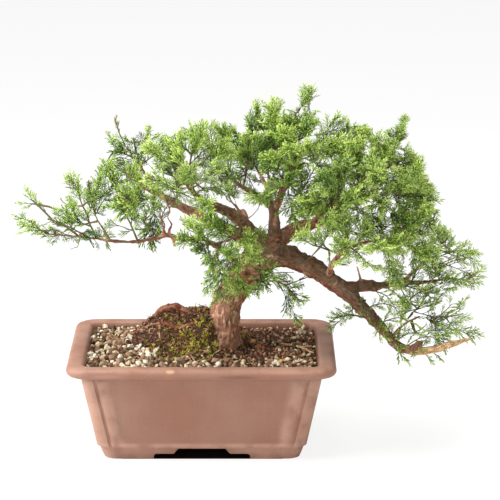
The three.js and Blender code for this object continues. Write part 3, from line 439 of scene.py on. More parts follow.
limbs = {  # the routes of the solids: place, then radius
    "trunk": [
        (20, -4, 64, 14), (23, -6, 92, 16), (25.5, -8, 114, 17.5), (25.5, -7, 130, 17),
        (25, -4, 146, 17.3), (26.5, -1, 158, 17.2), (31, 0, 169, 17), (38.5, 1, 180, 17.5),
        (49, 2, 193, 19), (61, 4, 206, 19.5), (72, 6, 216, 17), (79, 7, 223, 11),
    ],
    "knot": [(52, 0, 198, 12), (51, -17, 200, 11), (51, -21, 200.5, 8)],
    "right": [
        (58, 4, 206, 12), (78, 2, 217, 14), (101, -5, 213.5, 12.3), (125, -12, 204, 10.8),
        (146, -18, 191, 9.8), (166, -24, 176, 9), (183, -30, 160, 7.4), (200, -36, 143, 6),
        (213, -40, 128, 5), (225, -43, 119.5, 5), (239, -46, 117, 5), (255, -50, 119, 4.6),
        (277, -56, 127, 4), (300, -62, 136, 1.8),
    ],
    "rightUpper": [
        (156, -21, 183, 7), (184, -10, 183, 6.8), (201, 0, 180.5, 5), (219, 8, 181, 3.6),
        (253, 20, 180, 2.3), (282, 30, 181, 1.4),
    ],
    "back": [
        (74, 5, 214, 9), (90, 20, 230, 9.3), (106, 30, 240, 8), (134, 45, 244, 6), (150, 55, 246, 4.4),
        (159, 60, 257, 3.7), (158, 65, 277, 2.9), (152, 68, 292, 2),
    ],
    "up": [
        (72, 6, 212, 10), (81, 12, 232, 7.8), (81, 22, 253, 6.5), (80, 27, 265, 5.6), (69, 30, 274, 4.6),
        (54, 32, 283, 3.6), (42, 34, 290, 2.6), (28, 36, 303, 1.5),
    ],
    "leader": [
        (80, 25, 260, 5), (91, 30, 284, 4.4), (99, 32, 313, 3.6), (102, 34, 345, 2.6), (106, 37, 374, 1.4),
    ],
    "left": [
        (78, 5, 214, 10), (66, 2, 232, 8.6), (54, 0, 245, 7.9), (38, -8, 262, 7.2), (24, -17, 273, 6),
        (6, -26, 282, 4.6), (-8, -30, 294, 3), (-20, -32, 310, 1.6),
    ],
    "leftBack": [
        (64, 6, 214, 8), (42, 15, 234, 6.8), (11, 30, 249, 6.2), (-6, 40, 254, 5.8), (-23, 48, 261, 5.2),
        (-49, 58, 273, 4.2), (-72, 64, 285, 2.2), (-90, 68, 300, 1.4),
    ],
    "leftLow": [
        (46, 0, 200, 5), (30, -3, 218, 3.9), (14, -10, 230.5, 3.3), (-4, -20, 241, 2.9),
        (-21, -25, 240.5, 2.8), (-37, -28, 246, 2.6), (-60, -32, 242, 2.4), (-78, -34, 240, 2.2),
        (-100, -36, 241.5, 2), (-120, -38, 245, 1.8), (-156, -40, 249, 1.4), (-174, -40, 251, 1.1),
    ],
    "padArm": [
        (62, 2, 234, 4.6), (56, -22, 244, 3.8), (47, -46, 251, 3), (36, -66, 252, 2.2),
        (22, -78, 249, 1.4),
    ],
    "middleArm": [
        (126, 41, 244.5, 4), (142, 24, 266, 3.6), (160, 0, 284, 3), (180, -18, 292, 2.3),
        (202, -28, 300, 1.4),
    ],
    "farRightArm": [(158, 62, 264, 3), (176, 54, 286, 2.7), (200, 38, 304, 2.2), (222, 24, 318, 1.4)],
    "frontRightArm": [
        (142, -17, 194, 4), (147, -34, 216, 3.4), (160, -46, 234, 2.8), (184, -44, 242, 2.2),
        (208, -36, 245, 1.4),
    ],
    "sideArm": [(226, 11, 180.5, 2.6), (246, 16, 198, 2.2), (270, 20, 214, 1.4)],
    "lowArm": [(212, -39, 129, 2.8), (226, -28, 142, 1.9), (246, -18, 150, 1.4)],
    "crownLeftArm": [(97, 31, 306, 2.8), (84, 36, 330, 2.2), (70, 40, 352, 1.4)],
    "crownRightArm": [(100, 32, 322, 2.8), (122, 30, 336, 2.2), (146, 28, 346, 1.4)],
    "leftRise": [(-40, 55, 269, 2.8), (-58, 44, 290, 2.3), (-70, 34, 312, 1.9), (-74, 30, 328, 1.3)],
    "backArm": [(81, 24, 257, 4), (76, 52, 276, 3), (66, 78, 292, 2), (58, 92, 302, 1.3)],
    "backRightArm": [(150, 54, 246, 3.4), (164, 74, 260, 2.6), (180, 88, 272, 1.8), (190, 94, 280, 1.3)],
    "rootArch": [
        (22, 0, 132, 8), overSoil(2, 12, -0.5, 5.6), overSoil(-16, 20, -0.5, 5), overSoil(-32, 24, 4.5, 5),
        overSoil(-45, 25, 3.5, 4.4), overSoil(-57, 24, -1.5, 3.4), overSoil(-70, 20, -5, 2.6),
        overSoil(-82, 16, -12, 1.8),
    ],
    "rootAcross": [
        (18, -6, 124, 6), overSoil(-6, -10, -1, 4), overSoil(-26, -16, 0.5, 2.8),
        overSoil(-44, -6, 1.5, 1.9), overSoil(-64, 4, 2, 1.7), overSoil(-84, 16, 1, 1.4),
        overSoil(-94, 20, -5, 1.2),
    ],
    "rootFront": [
        (24, -8, 136, 12), (22, -17, 121, 10.5), overSoil(20, -24, -1, 7), overSoil(17, -31, -9, 3.5),
    ],
    "rootRight": [(28, -6, 134, 10), (36, -6, 117, 8), overSoil(43, -8, -4, 5), overSoil(50, -11, -10, 3)],
    "rootBack": [
        (28, 0, 132, 10), (38, 14, 118, 7.5), overSoil(50, 28, -0.5, 4.8), overSoil(62, 40, -8, 2.8),
    ],
    "rootLeftFront": [
        (20, -8, 130, 9), overSoil(5, -23, -1.5, 6), overSoil(-10, -36, -1.5, 4),
        overSoil(-26, -48, -2.5, 2.6), overSoil(-38, -56, -8, 1.8),
    ],
}

bareTwigs = {  # dead twigs and stubs too small for the solids, joined into the wood
    "upTwig": [(180, -12, 180, 2), (178, -12, 193, 1.7), (174.3, -12, 207, 1.35)],
    "stub": [(50.5, 3, 258, 3), (46, 3, 267, 2.6), (44.5, 3, 269, 2)],
    "crookedTwig": [(44, 5, 262, 2), (38, 5, 272, 1.6), (33, 5, 277, 1.5), (29, 5, 287, 1.35)],
    "risingTwig": [
        (-39.9, -29, 245, 2), (-43, -30, 252, 1.7), (-41, -31, 259, 1.5), (-46, -31, 267, 1.4),
        (-46.5, -30, 275, 1.35), (-51, -30, 284, 1.35),
    ],
    "risingTwigInner": [
        (-33.2, -28, 243, 2), (-36.5, -29, 251, 1.6), (-33.6, -30, 259, 1.5), (-38, -30, 267, 1.4),
        (-35.5, -30, 275, 1.35), (-38.5, -30, 284, 1.35),
    ],
    "lowStub": [(-32, -27, 243, 2.4), (-31.5, -28, 238, 2.2), (-31, -29, 233.5, 1.8)],
    "hangingTwig": [(-6.5, -20, 243, 1.8), (-4.3, -26, 237, 1.6), (1.3, -27, 227, 1.35)],
    "fallenTwig": [
        overSoil(88, 18, 1.6, 1.5), overSoil(107.4, -0.5, 3.2, 1.7), overSoil(126, -30, 3.4, 1.5),
    ],
    "fallenFork": [
        overSoil(107.4, -0.5, 3.2, 1.6), overSoil(117, -4, 3.4, 1.4), overSoil(125, -2, 3.2, 1.35),
    ],
    "paleTwig": [(-48.4, -1, 136, 1.35), (-48.8, -10, 131, 1.35), (-47.9, -19.5, 124, 1.35)],
    "barkLump": [(112, -14, 208, 7), (116, -18, 214, 5.5), (118, -20, 217, 3)],
    "upperLump": [(146, -22, 190, 8), (150, -26, 196, 5), (152, -28, 199, 3)],
    "tipLump": [(238, -47, 121, 5), (243, -50, 126, 4.4), (247, -52, 129, 2.5)],
    "forkLump": [(66, 2, 222, 8), (60, -4, 228, 6), (57, -6, 231, 3.5)],
}

woodLook = {
    "ringStep": 2.2,
    "facet": 1.5,
    "thinnest": 1.35,
    "voxel": 1.4,
    "smoothing": 3,
    "stripDepth": 1.15,
    "stripSize": (3.3, 9),
    "fibreDepth": 0.55,
    "fibreSize": (1.8, 4),
    "knobs": 1.9,
    "swellings": 1.6,
    "greyish": ("right", "rightUpper", "up", "leftBack", "left", "leftLow", "upperLump", "barkLump"),
    "deadwoodFrom": 222,
    "knotPlace": (51, -21, 200.5),
    "knotRadius": 10.5,
    "bark": "b57a5e",
    "paleBark": "ecc0a2",
    "deepBark": "35211a",
    "greyBark": "7c6653",
    "redBark": "8f5039",
    "deadwood": "dcbb90",
    "moss": "5a5a2a",
}


def curvePoints(route, steps):  # the centripetal curve through a route, with its radius
    given = np.array(route, float)
    knots = given[:, :3]
    padded = np.vstack([2 * knots[0] - knots[1], knots, 2 * knots[-1] - knots[-2]])
    places, radii = [], []
    for step in range(steps + 1):
        share = step / steps * (len(knots) - 1)
        before = min(int(share), len(knots) - 2)
        part = share - before
        first, near, far, last = padded[before:before + 4]
        gaps = [np.linalg.norm(b - a) ** 0.5 for a, b in ((first, near), (near, far), (far, last))]
        leave = (near - first) / gaps[0] - (far - first) / (gaps[0] + gaps[1]) + (far - near) / gaps[1]
        reach = (far - near) / gaps[1] - (last - near) / (gaps[1] + gaps[2]) + (last - far) / gaps[2]
        leave, reach = leave * gaps[1], reach * gaps[1]
        cubic = 2 * near - 2 * far + leave + reach
        square = -3 * near + 3 * far - 2 * leave - reach
        places.append(((cubic * part + square) * part + leave) * part + near)
        radii.append(given[before, 3] * (1 - part) + given[before + 1, 3] * part)
    return np.array(places), np.array(radii)


def limbStations(route):  # closely spaced rings along one limb: middle, forward, side, up, radius, distance
    knots = np.array(route, float)[:, :3]
    length = float(np.linalg.norm(np.diff(knots, axis=0), axis=1).sum())
    steps = max(6, int(length / woodLook["ringStep"]))
    places, radii = curvePoints(route, steps)
    side = Vector((0.25, -0.9, 0.35))
    stations, distance = [], 0.0
    for step in range(steps + 1):
        forward = Vector(places[min(step + 1, steps)] - places[max(step - 1, 0)]).normalized()
        side = (side - forward * side.dot(forward)).normalized()
        if step:
            distance += float(np.linalg.norm(places[step] - places[step - 1]))
        radius = max(float(radii[step]), woodLook["thinnest"])
        stations.append((Vector(places[step]), forward, side.copy(), forward.cross(side), radius, distance))
    return stations


def roughWood(routes):  # plain tubes, one closed body for each limb
    points, faces = [], []
    for stations in routes.values():
        widest = max(station[4] for station in stations)
        sides = max(8, int(2 * math.pi * widest / woodLook["facet"] / 2))
        start = len(points)
        for middle, forward, side, up, radius, distance in stations:
            for turn in range(sides):
                angle = turn / sides * 2 * math.pi
                points.append(fromPot(*(middle + (side * math.cos(angle) + up * math.sin(angle)) * radius)))
        for ring in range(len(stations) - 1):
            near = start + ring * sides
            for turn in range(sides):
                after = (turn + 1) % sides
                faces.append((near + turn, near + after, near + sides + after, near + sides + turn))
        faces.append([start + turn for turn in reversed(range(sides))])
        faces.append([len(points) - sides + turn for turn in range(sides)])
    return newPiece("wood", points, faces, bark)


def woodCoordinates(wood, routes):
    # For each point the limb that it lies on, how sure that is, and the place along and round that limb.
    kinds = list(routes)
    samples = [(kind, station) for kind in range(len(kinds)) for station in routes[kinds[kind]]]
    tree = KDTree(len(samples))
    for number, (kind, station) in enumerate(samples):
        tree.insert(station[0], number)
    tree.balance()
    found = []
    for vertex in wood.data.vertices:
        place = inPot(vertex.co)
        depths = {}
        for _, number, distance in tree.find_n(place, 14):
            kind, station = samples[number]
            offset = place - station[0]
            offset -= station[1] * offset.dot(station[1])
            depth = offset.length - station[4] + 0.15 * distance
            if kind not in depths or depth < depths[kind][0]:
                depths[kind] = (depth, station, offset)
        ranked = sorted(depths.items(), key=lambda item: item[1][0])
        kind, (depth, station, offset) = ranked[0]
        sure = 1 if len(ranked) == 1 else blendStep(0.2, 3.5, ranked[1][1][0] - depth)
        angle = math.atan2(offset.dot(station[3]), offset.dot(station[2]))
        beyond = (place - station[0]).dot(station[1])
        found.append((kinds[kind], sure, angle, station[4], station[5] + beyond, place))
    return found


def barkRelief(name, sure, angle, radius, along, place):  # height in mm, and the vector that strips follow
    grain = Vector((math.cos(angle) * radius, math.sin(angle) * radius, along))
    offset = sum(map(ord, name)) % 97
    wide, long = woodLook["stripSize"]
    strips = Vector((grain.x / wide, grain.y / wide, grain.z / long + offset))
    strips.x += 0.4 * noise.noise(grain / 15)  # so that no strip runs quite straight
    wide, long = woodLook["fibreSize"]
    fibres = Vector((grain.x / wide, grain.y / wide, grain.z / long + offset))
    plate = noise.noise(strips)
    crack = 1 - min(1, abs(plate) * 6)
    size = min(1, radius / 12)
    height = sure * size ** 0.7 * (plate * 0.9 - crack) * woodLook["stripDepth"]
    height += sure * size * noise.noise(fibres) * woodLook["fibreDepth"] * 1.8
    height += (1 - sure) * noise.noise(place / 4) * 0.9 * size
    knobby = 0.35 if name == "trunk" else 1.0
    knobs = noise.noise(place / 6.5) * woodLook["knobs"] * knobby
    height += size ** 0.6 * (knobs + noise.noise(place / 14) * woodLook["swellings"])
    return height, grain, plate, crack * sure


def makeWood():
    routes = {name: limbStations(route) for name, route in (limbs | bareTwigs).items()}
    wood = roughWood(routes)
    remesh = wood.modifiers.new("skin", "REMESH")
    remesh.mode, remesh.voxel_size = "VOXEL", woodLook["voxel"] / 1000
    smooth = wood.modifiers.new("smooth", "SMOOTH")
    smooth.factor, smooth.iterations = 0.5, woodLook["smoothing"]
    bakeModifiers(wood)
    normals = [vertex.normal.copy() for vertex in wood.data.vertices]
    found = woodCoordinates(wood, routes)
    keys = ("sure", "plate", "pit", "dead", "mossy", "knot", "red", "grey")
    values = {key: [] for key in keys}
    grains = []
    knotPlace = Vector(woodLook["knotPlace"])
    for vertex, normal, (name, sure, angle, radius, along, place) in zip(wood.data.vertices, normals, found):
        dead = blendStep(woodLook["deadwoodFrom"], woodLook["deadwoodFrom"] + 14, place.x) * (name == "right")
        if name in ("fallenTwig", "fallenFork", "paleTwig"):
            dead = 1.0
        height, grain, plate, pit = barkRelief(name, sure, angle, radius, along, place)
        height *= 1 - 0.3 * dead
        pit = max(pit, 0.9 * (name == "tipLump"))
        fromKnot = place - knotPlace
        flat = math.hypot(fromKnot.x, fromKnot.z)
        knot = blendStep(woodLook["knotRadius"], woodLook["knotRadius"] - 3, flat)
        knot *= blendStep(9, 4, abs(fromKnot.y))
        rings = 0.7 * math.cos(flat * 2.1 + noise.noise(place / 5) * 2)
        bowl = 2.6 * blendStep(3.4, 0.5, flat) - 1.6 * blendStep(6, 9, flat)
        height = height * (1 - knot) + knot * (rings - bowl)
        vertex.co += normal * height / 1000
        front = blendStep(0, -0.6, normal.y)
        stripe = blendStep(4.5, 1.5, abs(place.x - 34 - noise.noise(place / 9) * 4))
        stripe *= 0.6 * front * blendStep(140, 150, place.z) * blendStep(196, 184, place.z)
        patch = blendStep(0.1, 0.4, noise.noise(place / 8)) * blendStep(142, 122, place.z) * 0.15
        lichen = 0.3 * blendStep(0.35, 0.55, noise.noise(place / 7 + Vector((9, 0, 0)))) * (place.z > 150)
        values["sure"].append(sure)
        values["plate"].append(min(1, max(0, 0.5 + 1.1 * plate)))
        values["pit"].append(pit * (1 - knot) * (1 - 0.5 * dead))
        values["dead"].append(dead)
        stripe *= blendStep(-0.3, 0.2, noise.noise(place / 4))
        values["mossy"].append(max(stripe, patch, lichen * (1 - dead)))
        values["knot"].append(knot * (1 - blendStep(1.5, 6, flat) * 0.6))
        # undersides redder and darker: reddish bark there, and painted shade
        under = blendStep(0.1, -0.7, normal.z)
        values["red"].append(1.0 if name in ("rootArch", "rootAcross") else 0.3 + 0.7 * under)
        greyed = 0.9 if name in woodLook["greyish"] else 0.1
        values["grey"].append(greyed * (1 - 0.9 * under))
        grains += [value / 1000 for value in grain]
    for key in keys:
        wood.data.attributes.new(key, "FLOAT", "POINT").data.foreach_set("value", values[key])
    wood.data.attributes.new("grain", "FLOAT_VECTOR", "POINT").data.foreach_set("vector", grains)
    wood.data.materials.clear()
    wood.data.materials.append(bark)
    shadeSmooth(wood)
    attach(wood, "root")
    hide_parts("trunk")
    return wood


def barkMaterial():
    look = woodLook
    material, tree, shader = newMaterial("juniperBark", 0.8, 0.2)
    grain = readAttribute(tree, "grain", "Vector")
    stretched = addNode(tree, "ShaderNodeMapping", {"Vector": grain, "Scale": (1, 1, 0.32)}).outputs["Vector"]
    place = objectPlace(tree)
    strips = mottle(tree, stretched, 300, 0.4, 0.6, 4)
    fineStrips = mottle(tree, stretched, 560, 0.42, 0.62, 3)
    patches = mottle(tree, place, 42, 0.28, 0.5)
    peeled = product(tree, calculate(tree, "ADD", strips, 0.25), readAttribute(tree, "plate"))
    colour = mixColours(tree, peeled, hexColour(look["bark"]), hexColour(look["paleBark"]))
    colour = tinted(tree, colour, readAttribute(tree, "grey"), look["greyBark"], patches)
    # redder and darker undersides: reddish bark, and painted shade
    redPatches = mottle(tree, place, 90, 0.35, 0.6)
    colour = tinted(tree, colour, readAttribute(tree, "red"), look["redBark"], redPatches)
    colour = tinted(tree, colour, fineStrips, look["deepBark"], 0.4)
    colour = tinted(tree, colour, readAttribute(tree, "pit"), look["deepBark"], 0.6)
    tanWood = tinted(tree, hexColour(look["deadwood"]), fineStrips, "a87c55")
    tanWood = tinted(tree, tanWood, readAttribute(tree, "pit"), "7c5638")
    colour = mixColours(tree, readAttribute(tree, "dead"), colour, tanWood)
    knotWood = mixColours(tree, mottle(tree, place, 500), hexColour("5a3a28"), hexColour("a2663e"))
    colour = mixColours(tree, readAttribute(tree, "knot"), colour, knotWood)
    green = mixColours(tree, mottle(tree, place, 900), hexColour(look["moss"]), hexColour("747a34"))
    colour = mixColours(tree, readAttribute(tree, "mossy"), colour, green)
    tree.links.new(colour, shader.inputs["Base Color"])
    sureStrips = product(tree, fineStrips, readAttribute(tree, "sure"))
    height = calculate(tree, "ADD", sureStrips, mottle(tree, place, 700))
    setBump(tree, shader, height, 0.0004, 0.7)
    return material


bark = barkMaterial()
wood = makeWood()
print("wood made,", len(wood.data.polygons), "faces")

# The foliage

leafLook = {
    "kinds": 6,
    "sharp": 2.2,
    "growth": 1.3,
    # tone: outer and higher leaves lighter, painted light on the spray's outside and top; clouds and spread
    # at random
    "tone": {"least": 0.14, "outer": 0.3, "above": 0.32, "clouds": 0.6, "spread": 0.3},
    "emptyDip": 0.66,
    "brushing": 0.5,
    "shootSteps": 14,
    "shootRadius": 1.1,
    "usual": 15.5,
    "extraShare": 0.6,
    "extraLength": 13,
    "bareRoot": 12,
    "limbTufts": 0.55,
    "limbTuftRadius": 7.2,
    "dry": 0.03,
    "rootSink": 2.0,
    "slimmer": 0.35,
    "dark": "1d2716",
    "middle": "66873a",
    "bright": "b2d450",
    "palest": "dcec8c",
    "cool": "3c6c3c",
    "stem": "7a5a3c",
}
clumps = {  # how much lighter, as painted light and shade on each clump (the clumps at the back darker), how many twins its spriglets have (below 0 thins it out), and their size
    "left_tip": (0.25, -0.4, 0.7), "left_low": (0.05, -0.25, 0.8), "left_mid": (0.05, -0.1, 0.85),
    "left_up": (0.15, 0.0, 0.85), "left_back": (-0.1, 0.4, 1.05), "mid_left": (0.55, 0.0, 0.92),
    "mid_top": (0.03, 0.05, 0.92), "mid_back": (-0.2, 0.45, 1.05), "pad": (0.05, 0.1, 0.88),
    "crown_left": (0.08, 0.0, 0.85), "crown": (0.2, 0.2, 0.97), "apex": (0.2, 0.05, 0.8),
    "back": (-0.25, 0.45, 0.95), "middle": (0.28, 0.35, 1.0), "far_right": (0.42, 0.2, 0.9),
    "front_right": (0.6, 0.25, 0.97), "side": (0.35, -0.4, 0.82), "low": (0.25, -0.5, 0.83),
    "drooping": (0.15, -0.2, 0.82),
}
leafyLimbs = {  # thin limbs with spriglets of their own, from this share of their length on
    "rightUpper": 0.4, "right": 0.55, "back": 0.5, "up": 0.6, "leader": 0.2, "left": 0.75,
    "leftBack": 0.72, "leftLow": 0.75, "middleArm": 0.3, "farRightArm": 0.2, "frontRightArm": 0.45,
    "sideArm": 0.2, "lowArm": 0.05, "crownLeftArm": 0.1, "crownRightArm": 0.1, "leftRise": 0.2,
    "backArm": 0.2, "backRightArm": 0.2, "padArm": 0.3,
}
clearViews = [  # stretches of limb that stay in sight: a limb, from and to in x, and how much room beside it
    ("right", 82, 158, 5), ("left", 20, 50, 1), ("leftBack", -34, 2, 2), ("up", 76, 84, 4),
    ("back", 88, 140, 3), ("rightUpper", 160, 196, 5), ("knot", 48, 56, -1), ("trunk", 15, 22.5, 0),
    ("leftLow", -118, -46, 4),
]
openings = [  # gaps that stay free of leaves, as the eye sees them: across, up and radius at the pot
    (0, 44, 14), (-11, 54, 10), (14, 32, 9), (12, 70, 6), (66, 3, 8), (80, -2, 6), (123, -25, 10),
    (116, -21, 8), (145, -10, 9), (-159, 42, 7), (-71, 102, 7), (-114, 104, 7), (140, -29, 7),
    (138, -53, 7), (-71, 17, 8), (-175, 32, 8), (-144, 30, 10), (-85, 30, 7), (-113, 94, 7),
    (236, -122, 10), (155, -117, 10), (-200, -2, 9), (-170, -8, 9),
]
dips = [  # places just outside the outline that it bends in from, in the same measure
    (235, 103, 54), (201, 165, 35), (144, 168, 45), (96, 177, 32), (48, 176, 17), (-25, 170, 40),
    (-63, 169, 33), (-94, 154, 33), (-137, 148, 21), (-177, 126, 22), (-188, 99, 22), (-230, 69, 22),
    (-241, 44, 19), (-84, -26, 46), (257, -69, 14), (222, -52, 9), (191, -83, 14), (68, -72, 16),
    (255, 41, 38), (270, 8, 16), (207, 130, 38), (250, 52, 52),
]


def foliageMaterial():
    look = leafLook
    material, tree, shader = newMaterial("juniperFoliage", 0.5, 0.3)
    place = objectPlace(tree)
    uneven = calculate(tree, "SUBTRACT", mottle(tree, place, 500, 0.4, 0.6), 0.5)
    tone = calculate(tree, "ADD", readAttribute(tree, "tone"), product(tree, uneven, 0.85))
    # lighter towards the tips, new growth, with the darker bases a painted shade inside the foliage
    shade = calculate(tree, "ADD", product(tree, tone, 0.54), product(tree, readAttribute(tree, "tip"), 0.6))
    ramp = addNode(tree, "ShaderNodeValToRGB", {"Fac": shade})
    stops = ramp.color_ramp.elements
    stops[0].position, stops[0].color = 0.12, hexColour(look["dark"])
    stops[1].position, stops[1].color = 1.0, hexColour(look["palest"])
    for position, colour in ((0.46, look["middle"]), (0.8, look["bright"])):
        stops.new(position).color = hexColour(colour)
    green = tinted(tree, ramp.outputs["Color"], mottle(tree, place, 26, 0.48, 0.62), look["cool"], 0.35)
    brown = tinted(tree, hexColour(look["stem"]), mottle(tree, place, 150), "5d6a38")
    colour = mixColours(tree, readAttribute(tree, "woody"), green, brown)
    tree.links.new(colour, shader.inputs["Base Color"])
    scales = addNode(tree, "ShaderNodeTexVoronoi", {"Vector": place, "Scale": 900.0})
    setBump(tree, shader, scales.outputs["Distance"], 0.0003, 0.6)
    return material


def addTwiglet(points, faces, tips, start, heading, length, radius, bends, tipness, turn):
    # A three-sided tapering twiglet that bends a little at each ring and ends in a point.
    direction = heading.normalized()
    side = direction.orthogonal().normalized()
    first = len(points)
    place = start.copy()
    stations = []
    rings = len(bends) + 1
    for ring in range(rings):
        share = ring / rings
        across = radius * (1 - 0.45 * share)
        side = (side - direction * side.dot(direction)).normalized()
        up = direction.cross(side)
        for corner in range(3):
            angle = (corner / 3 + turn) * 2 * math.pi
            points.append(place + (side * math.cos(angle) + up * math.sin(angle)) * across)
            tips.append(tipness[0] + (tipness[1] - tipness[0]) * share)
        stations.append((place.copy(), direction.copy()))
        if ring < len(bends):
            place = place + direction * (length / rings)
            direction = (direction + bends[ring]).normalized()
    place = place + direction * (length / rings)
    points.append(place)
    tips.append(tipness[1])
    faces.append((first + 2, first + 1, first))
    for ring in range(rings - 1):
        near = first + 3 * ring
        for corner in range(3):
            after = (corner + 1) % 3
            faces.append((near + corner, near + after, near + 3 + after, near + 3 + corner))
    last = first + 3 * (rings - 1)
    for corner in range(3):
        faces.append((last + corner, last + (corner + 1) % 3, len(points) - 1))
    return stations


def addCord(points, faces, tips, start, heading, length, radius, tipness):
    # A cord of scale leaves, pointed at both ends and widest a little past its middle.
    direction = heading.normalized()
    side = direction.orthogonal().normalized()
    up = direction.cross(side)
    first, widest = len(points), 0.62
    points.append(start)
    for corner in range(3):
        angle = corner / 3 * 2 * math.pi
        across = side * math.cos(angle) + up * math.sin(angle)
        points.append(start + direction * length * widest + across * radius)
    points.append(start + direction * length)
    tips += [tipness[0]] + [tipness[0] * (1 - widest) + tipness[1] * widest] * 3 + [tipness[1]]
    for corner in range(3):
        near, after = first + 1 + corner, first + 1 + (corner + 1) % 3
        faces += [(first, after, near), (near, after, first + 4)]


spriglet = {  # lengths and radii as shares of the whole
    "rachis": 0.95,
    "rachisRadius": 0.034,
    "cords": 7,
    "longest": 0.7,
    "shorterOn": 0.36,
    "cordRadius": 0.033,
    "twinRadius": 0.029,
    "fork": 0.46,
    "forkRadius": 0.032,
}


def makeSpriglet(kind):  # a flat feathery spray of cords, one unit long, that grows along +Z
    look = spriglet
    draw = random.Random(40 + kind)
    shape = points, faces, tips = [], [], []
    lean = [Vector((draw.uniform(-0.16, 0.16), draw.uniform(0.02, 0.2), 0)) for _ in range(2)]
    up = Vector((0, 0, 1))
    axis = addTwiglet(*shape, Vector(), up, look["rachis"], look["rachisRadius"], lean, (0.0, 0.75), 0)
    for number in range(look["cords"]):
        share = 0.1 + 0.82 * number / (look["cords"] - 1)
        part = min(2, int(share * 3))
        base, forward = axis[part]
        start = base + forward * (share * 3 - part) * 0.31
        hand = 1 if (number + kind) % 2 else -1
        aside = Vector((hand, 0, 0))
        heading = forward + aside * draw.uniform(0.35, 0.65) + Vector((0, draw.uniform(-0.25, 0.3), 0))
        length = (look["longest"] - look["shorterOn"] * share) * draw.uniform(0.75, 1.25)
        tipness = (0.05 + 0.4 * share, 0.5 + 0.5 * share)
        addCord(*shape, start, heading, length, look["cordRadius"], tipness)
        course = heading.normalized()
        for twin in range(2 if share < 0.4 else 1):
            begin = start + course * length * (0.3 + 0.25 * twin)
            turned = course + aside * (0.7 if twin else -0.7) * draw.uniform(0.8, 1.2)
            turned.y += draw.uniform(-0.3, 0.3)
            small = length * draw.uniform(0.45, 0.65)
            addCord(*shape, begin, turned, small, look["twinRadius"], (tipness[0] + 0.1, tipness[1] + 0.05))
    last, forward = axis[-1]
    for hand in (-1, 1):
        heading = forward + Vector((hand * draw.uniform(0.25, 0.4), draw.uniform(-0.2, 0.2), 0))
        base = last + forward * 0.05
        addTwiglet(*shape, base, heading, look["fork"], look["forkRadius"], [], (0.6, 1.0), 0.1)
    return newShape(f"spriglet{kind}", points, faces, foliage, {"tip": tips})


def pickShapes(tree, collection):
    inputs = {"Collection": collection, "Separate Children": True, "Reset Children": True}
    return addNode(tree, "GeometryNodeCollectionInfo", inputs).outputs["Instances"]


def turnFurther(tree, rotation, extra):
    inputs = {"Rotation": rotation, "Rotate By": extra}
    return addNode(tree, "FunctionNodeRotateRotation", inputs, rotation_space="LOCAL").outputs["Rotation"]


def finishTree(tree, geometry, material, result):  # real geometry in its material
    real = addNode(tree, "GeometryNodeRealizeInstances", {"Geometry": geometry}).outputs["Geometry"]
    dressed = addNode(tree, "GeometryNodeSetMaterial", {"Geometry": real, "Material": material})
    tree.links.new(dressed.outputs["Geometry"], result["Geometry"])


def makeLeafTree():  # puts a spriglet at every loose point, and keeps the stem that has faces
    sockets = {
        "Geometry": ("Geometry", None), "Spriglets": ("Collection", None), "Size": ("Float", 1.0),
        "Roll": ("Float", math.pi), "Seed": ("Int", 3), "Material": ("Material", None),
    }
    tree, given, result = newGroup("growSpriglets", "GeometryNodeTree", sockets, ("Geometry", "Geometry"))

    def named(name, kind="FLOAT"):
        node = addNode(tree, "GeometryNodeInputNamedAttribute", {"Name": name}, data_type=kind)
        return node.outputs["Attribute"]

    loose = calculate(tree, "GREATER_THAN", named("length"), 0.0001)
    aim = named("aim", "FLOAT_VECTOR")
    aimed = addNode(tree, "FunctionNodeAlignRotationToVector", {"Vector": aim}, axis="Z")
    roll = addNode(tree, "FunctionNodeRandomValue", {"Min": 0.0, "Seed": given["Seed"]}, data_type="FLOAT")
    tree.links.new(given["Roll"], roll.inputs[3])
    spin = addNode(tree, "FunctionNodeAxisAngleToRotation", {"Axis": (0, 0, 1), "Angle": roll.outputs[1]})
    kinds = addNode(tree, "FunctionNodeRandomValue", {"Seed": given["Seed"]}, data_type="INT")
    kinds.inputs[4].default_value, kinds.inputs[5].default_value = 0, leafLook["kinds"] - 1
    grown = addNode(
        tree, "GeometryNodeInstanceOnPoints",
        {
            "Points": given["Geometry"], "Selection": loose, "Pick Instance": True,
            "Instance": pickShapes(tree, given["Spriglets"]), "Instance Index": kinds.outputs[2],
            "Rotation": turnFurther(tree, aimed.outputs["Rotation"], spin.outputs["Rotation"]),
            "Scale": product(tree, named("length"), given["Size"]),
        },
    )
    inputs = {"Geometry": given["Geometry"], "Selection": loose}
    stems = addNode(tree, "GeometryNodeDeleteGeometry", inputs, domain="POINT")
    together = addNode(tree, "GeometryNodeJoinGeometry")
    tree.links.new(stems.outputs["Geometry"], together.inputs[0])
    tree.links.new(grown.outputs["Instances"], together.inputs[0])
    finishTree(tree, together.outputs[0], given["Material"], result)
    return tree


def growModifier(piece, tree, values):  # sets the tree's inputs by their identifiers
    grow = piece.modifiers.new(tree.name, "NODES")
    grow.node_group = tree
    for item in tree.interface.items_tree:
        if item.item_type == "SOCKET" and item.in_out == "INPUT" and item.name in values:
            grow[item.identifier] = values[item.name]
    return grow


def crooked(place, root):  # a little to one side, the farther from the wood the more
    return place + noise.noise_vector(place * 45) * 0.0032 * blendStep(0.004, 0.03, (place - root).length)


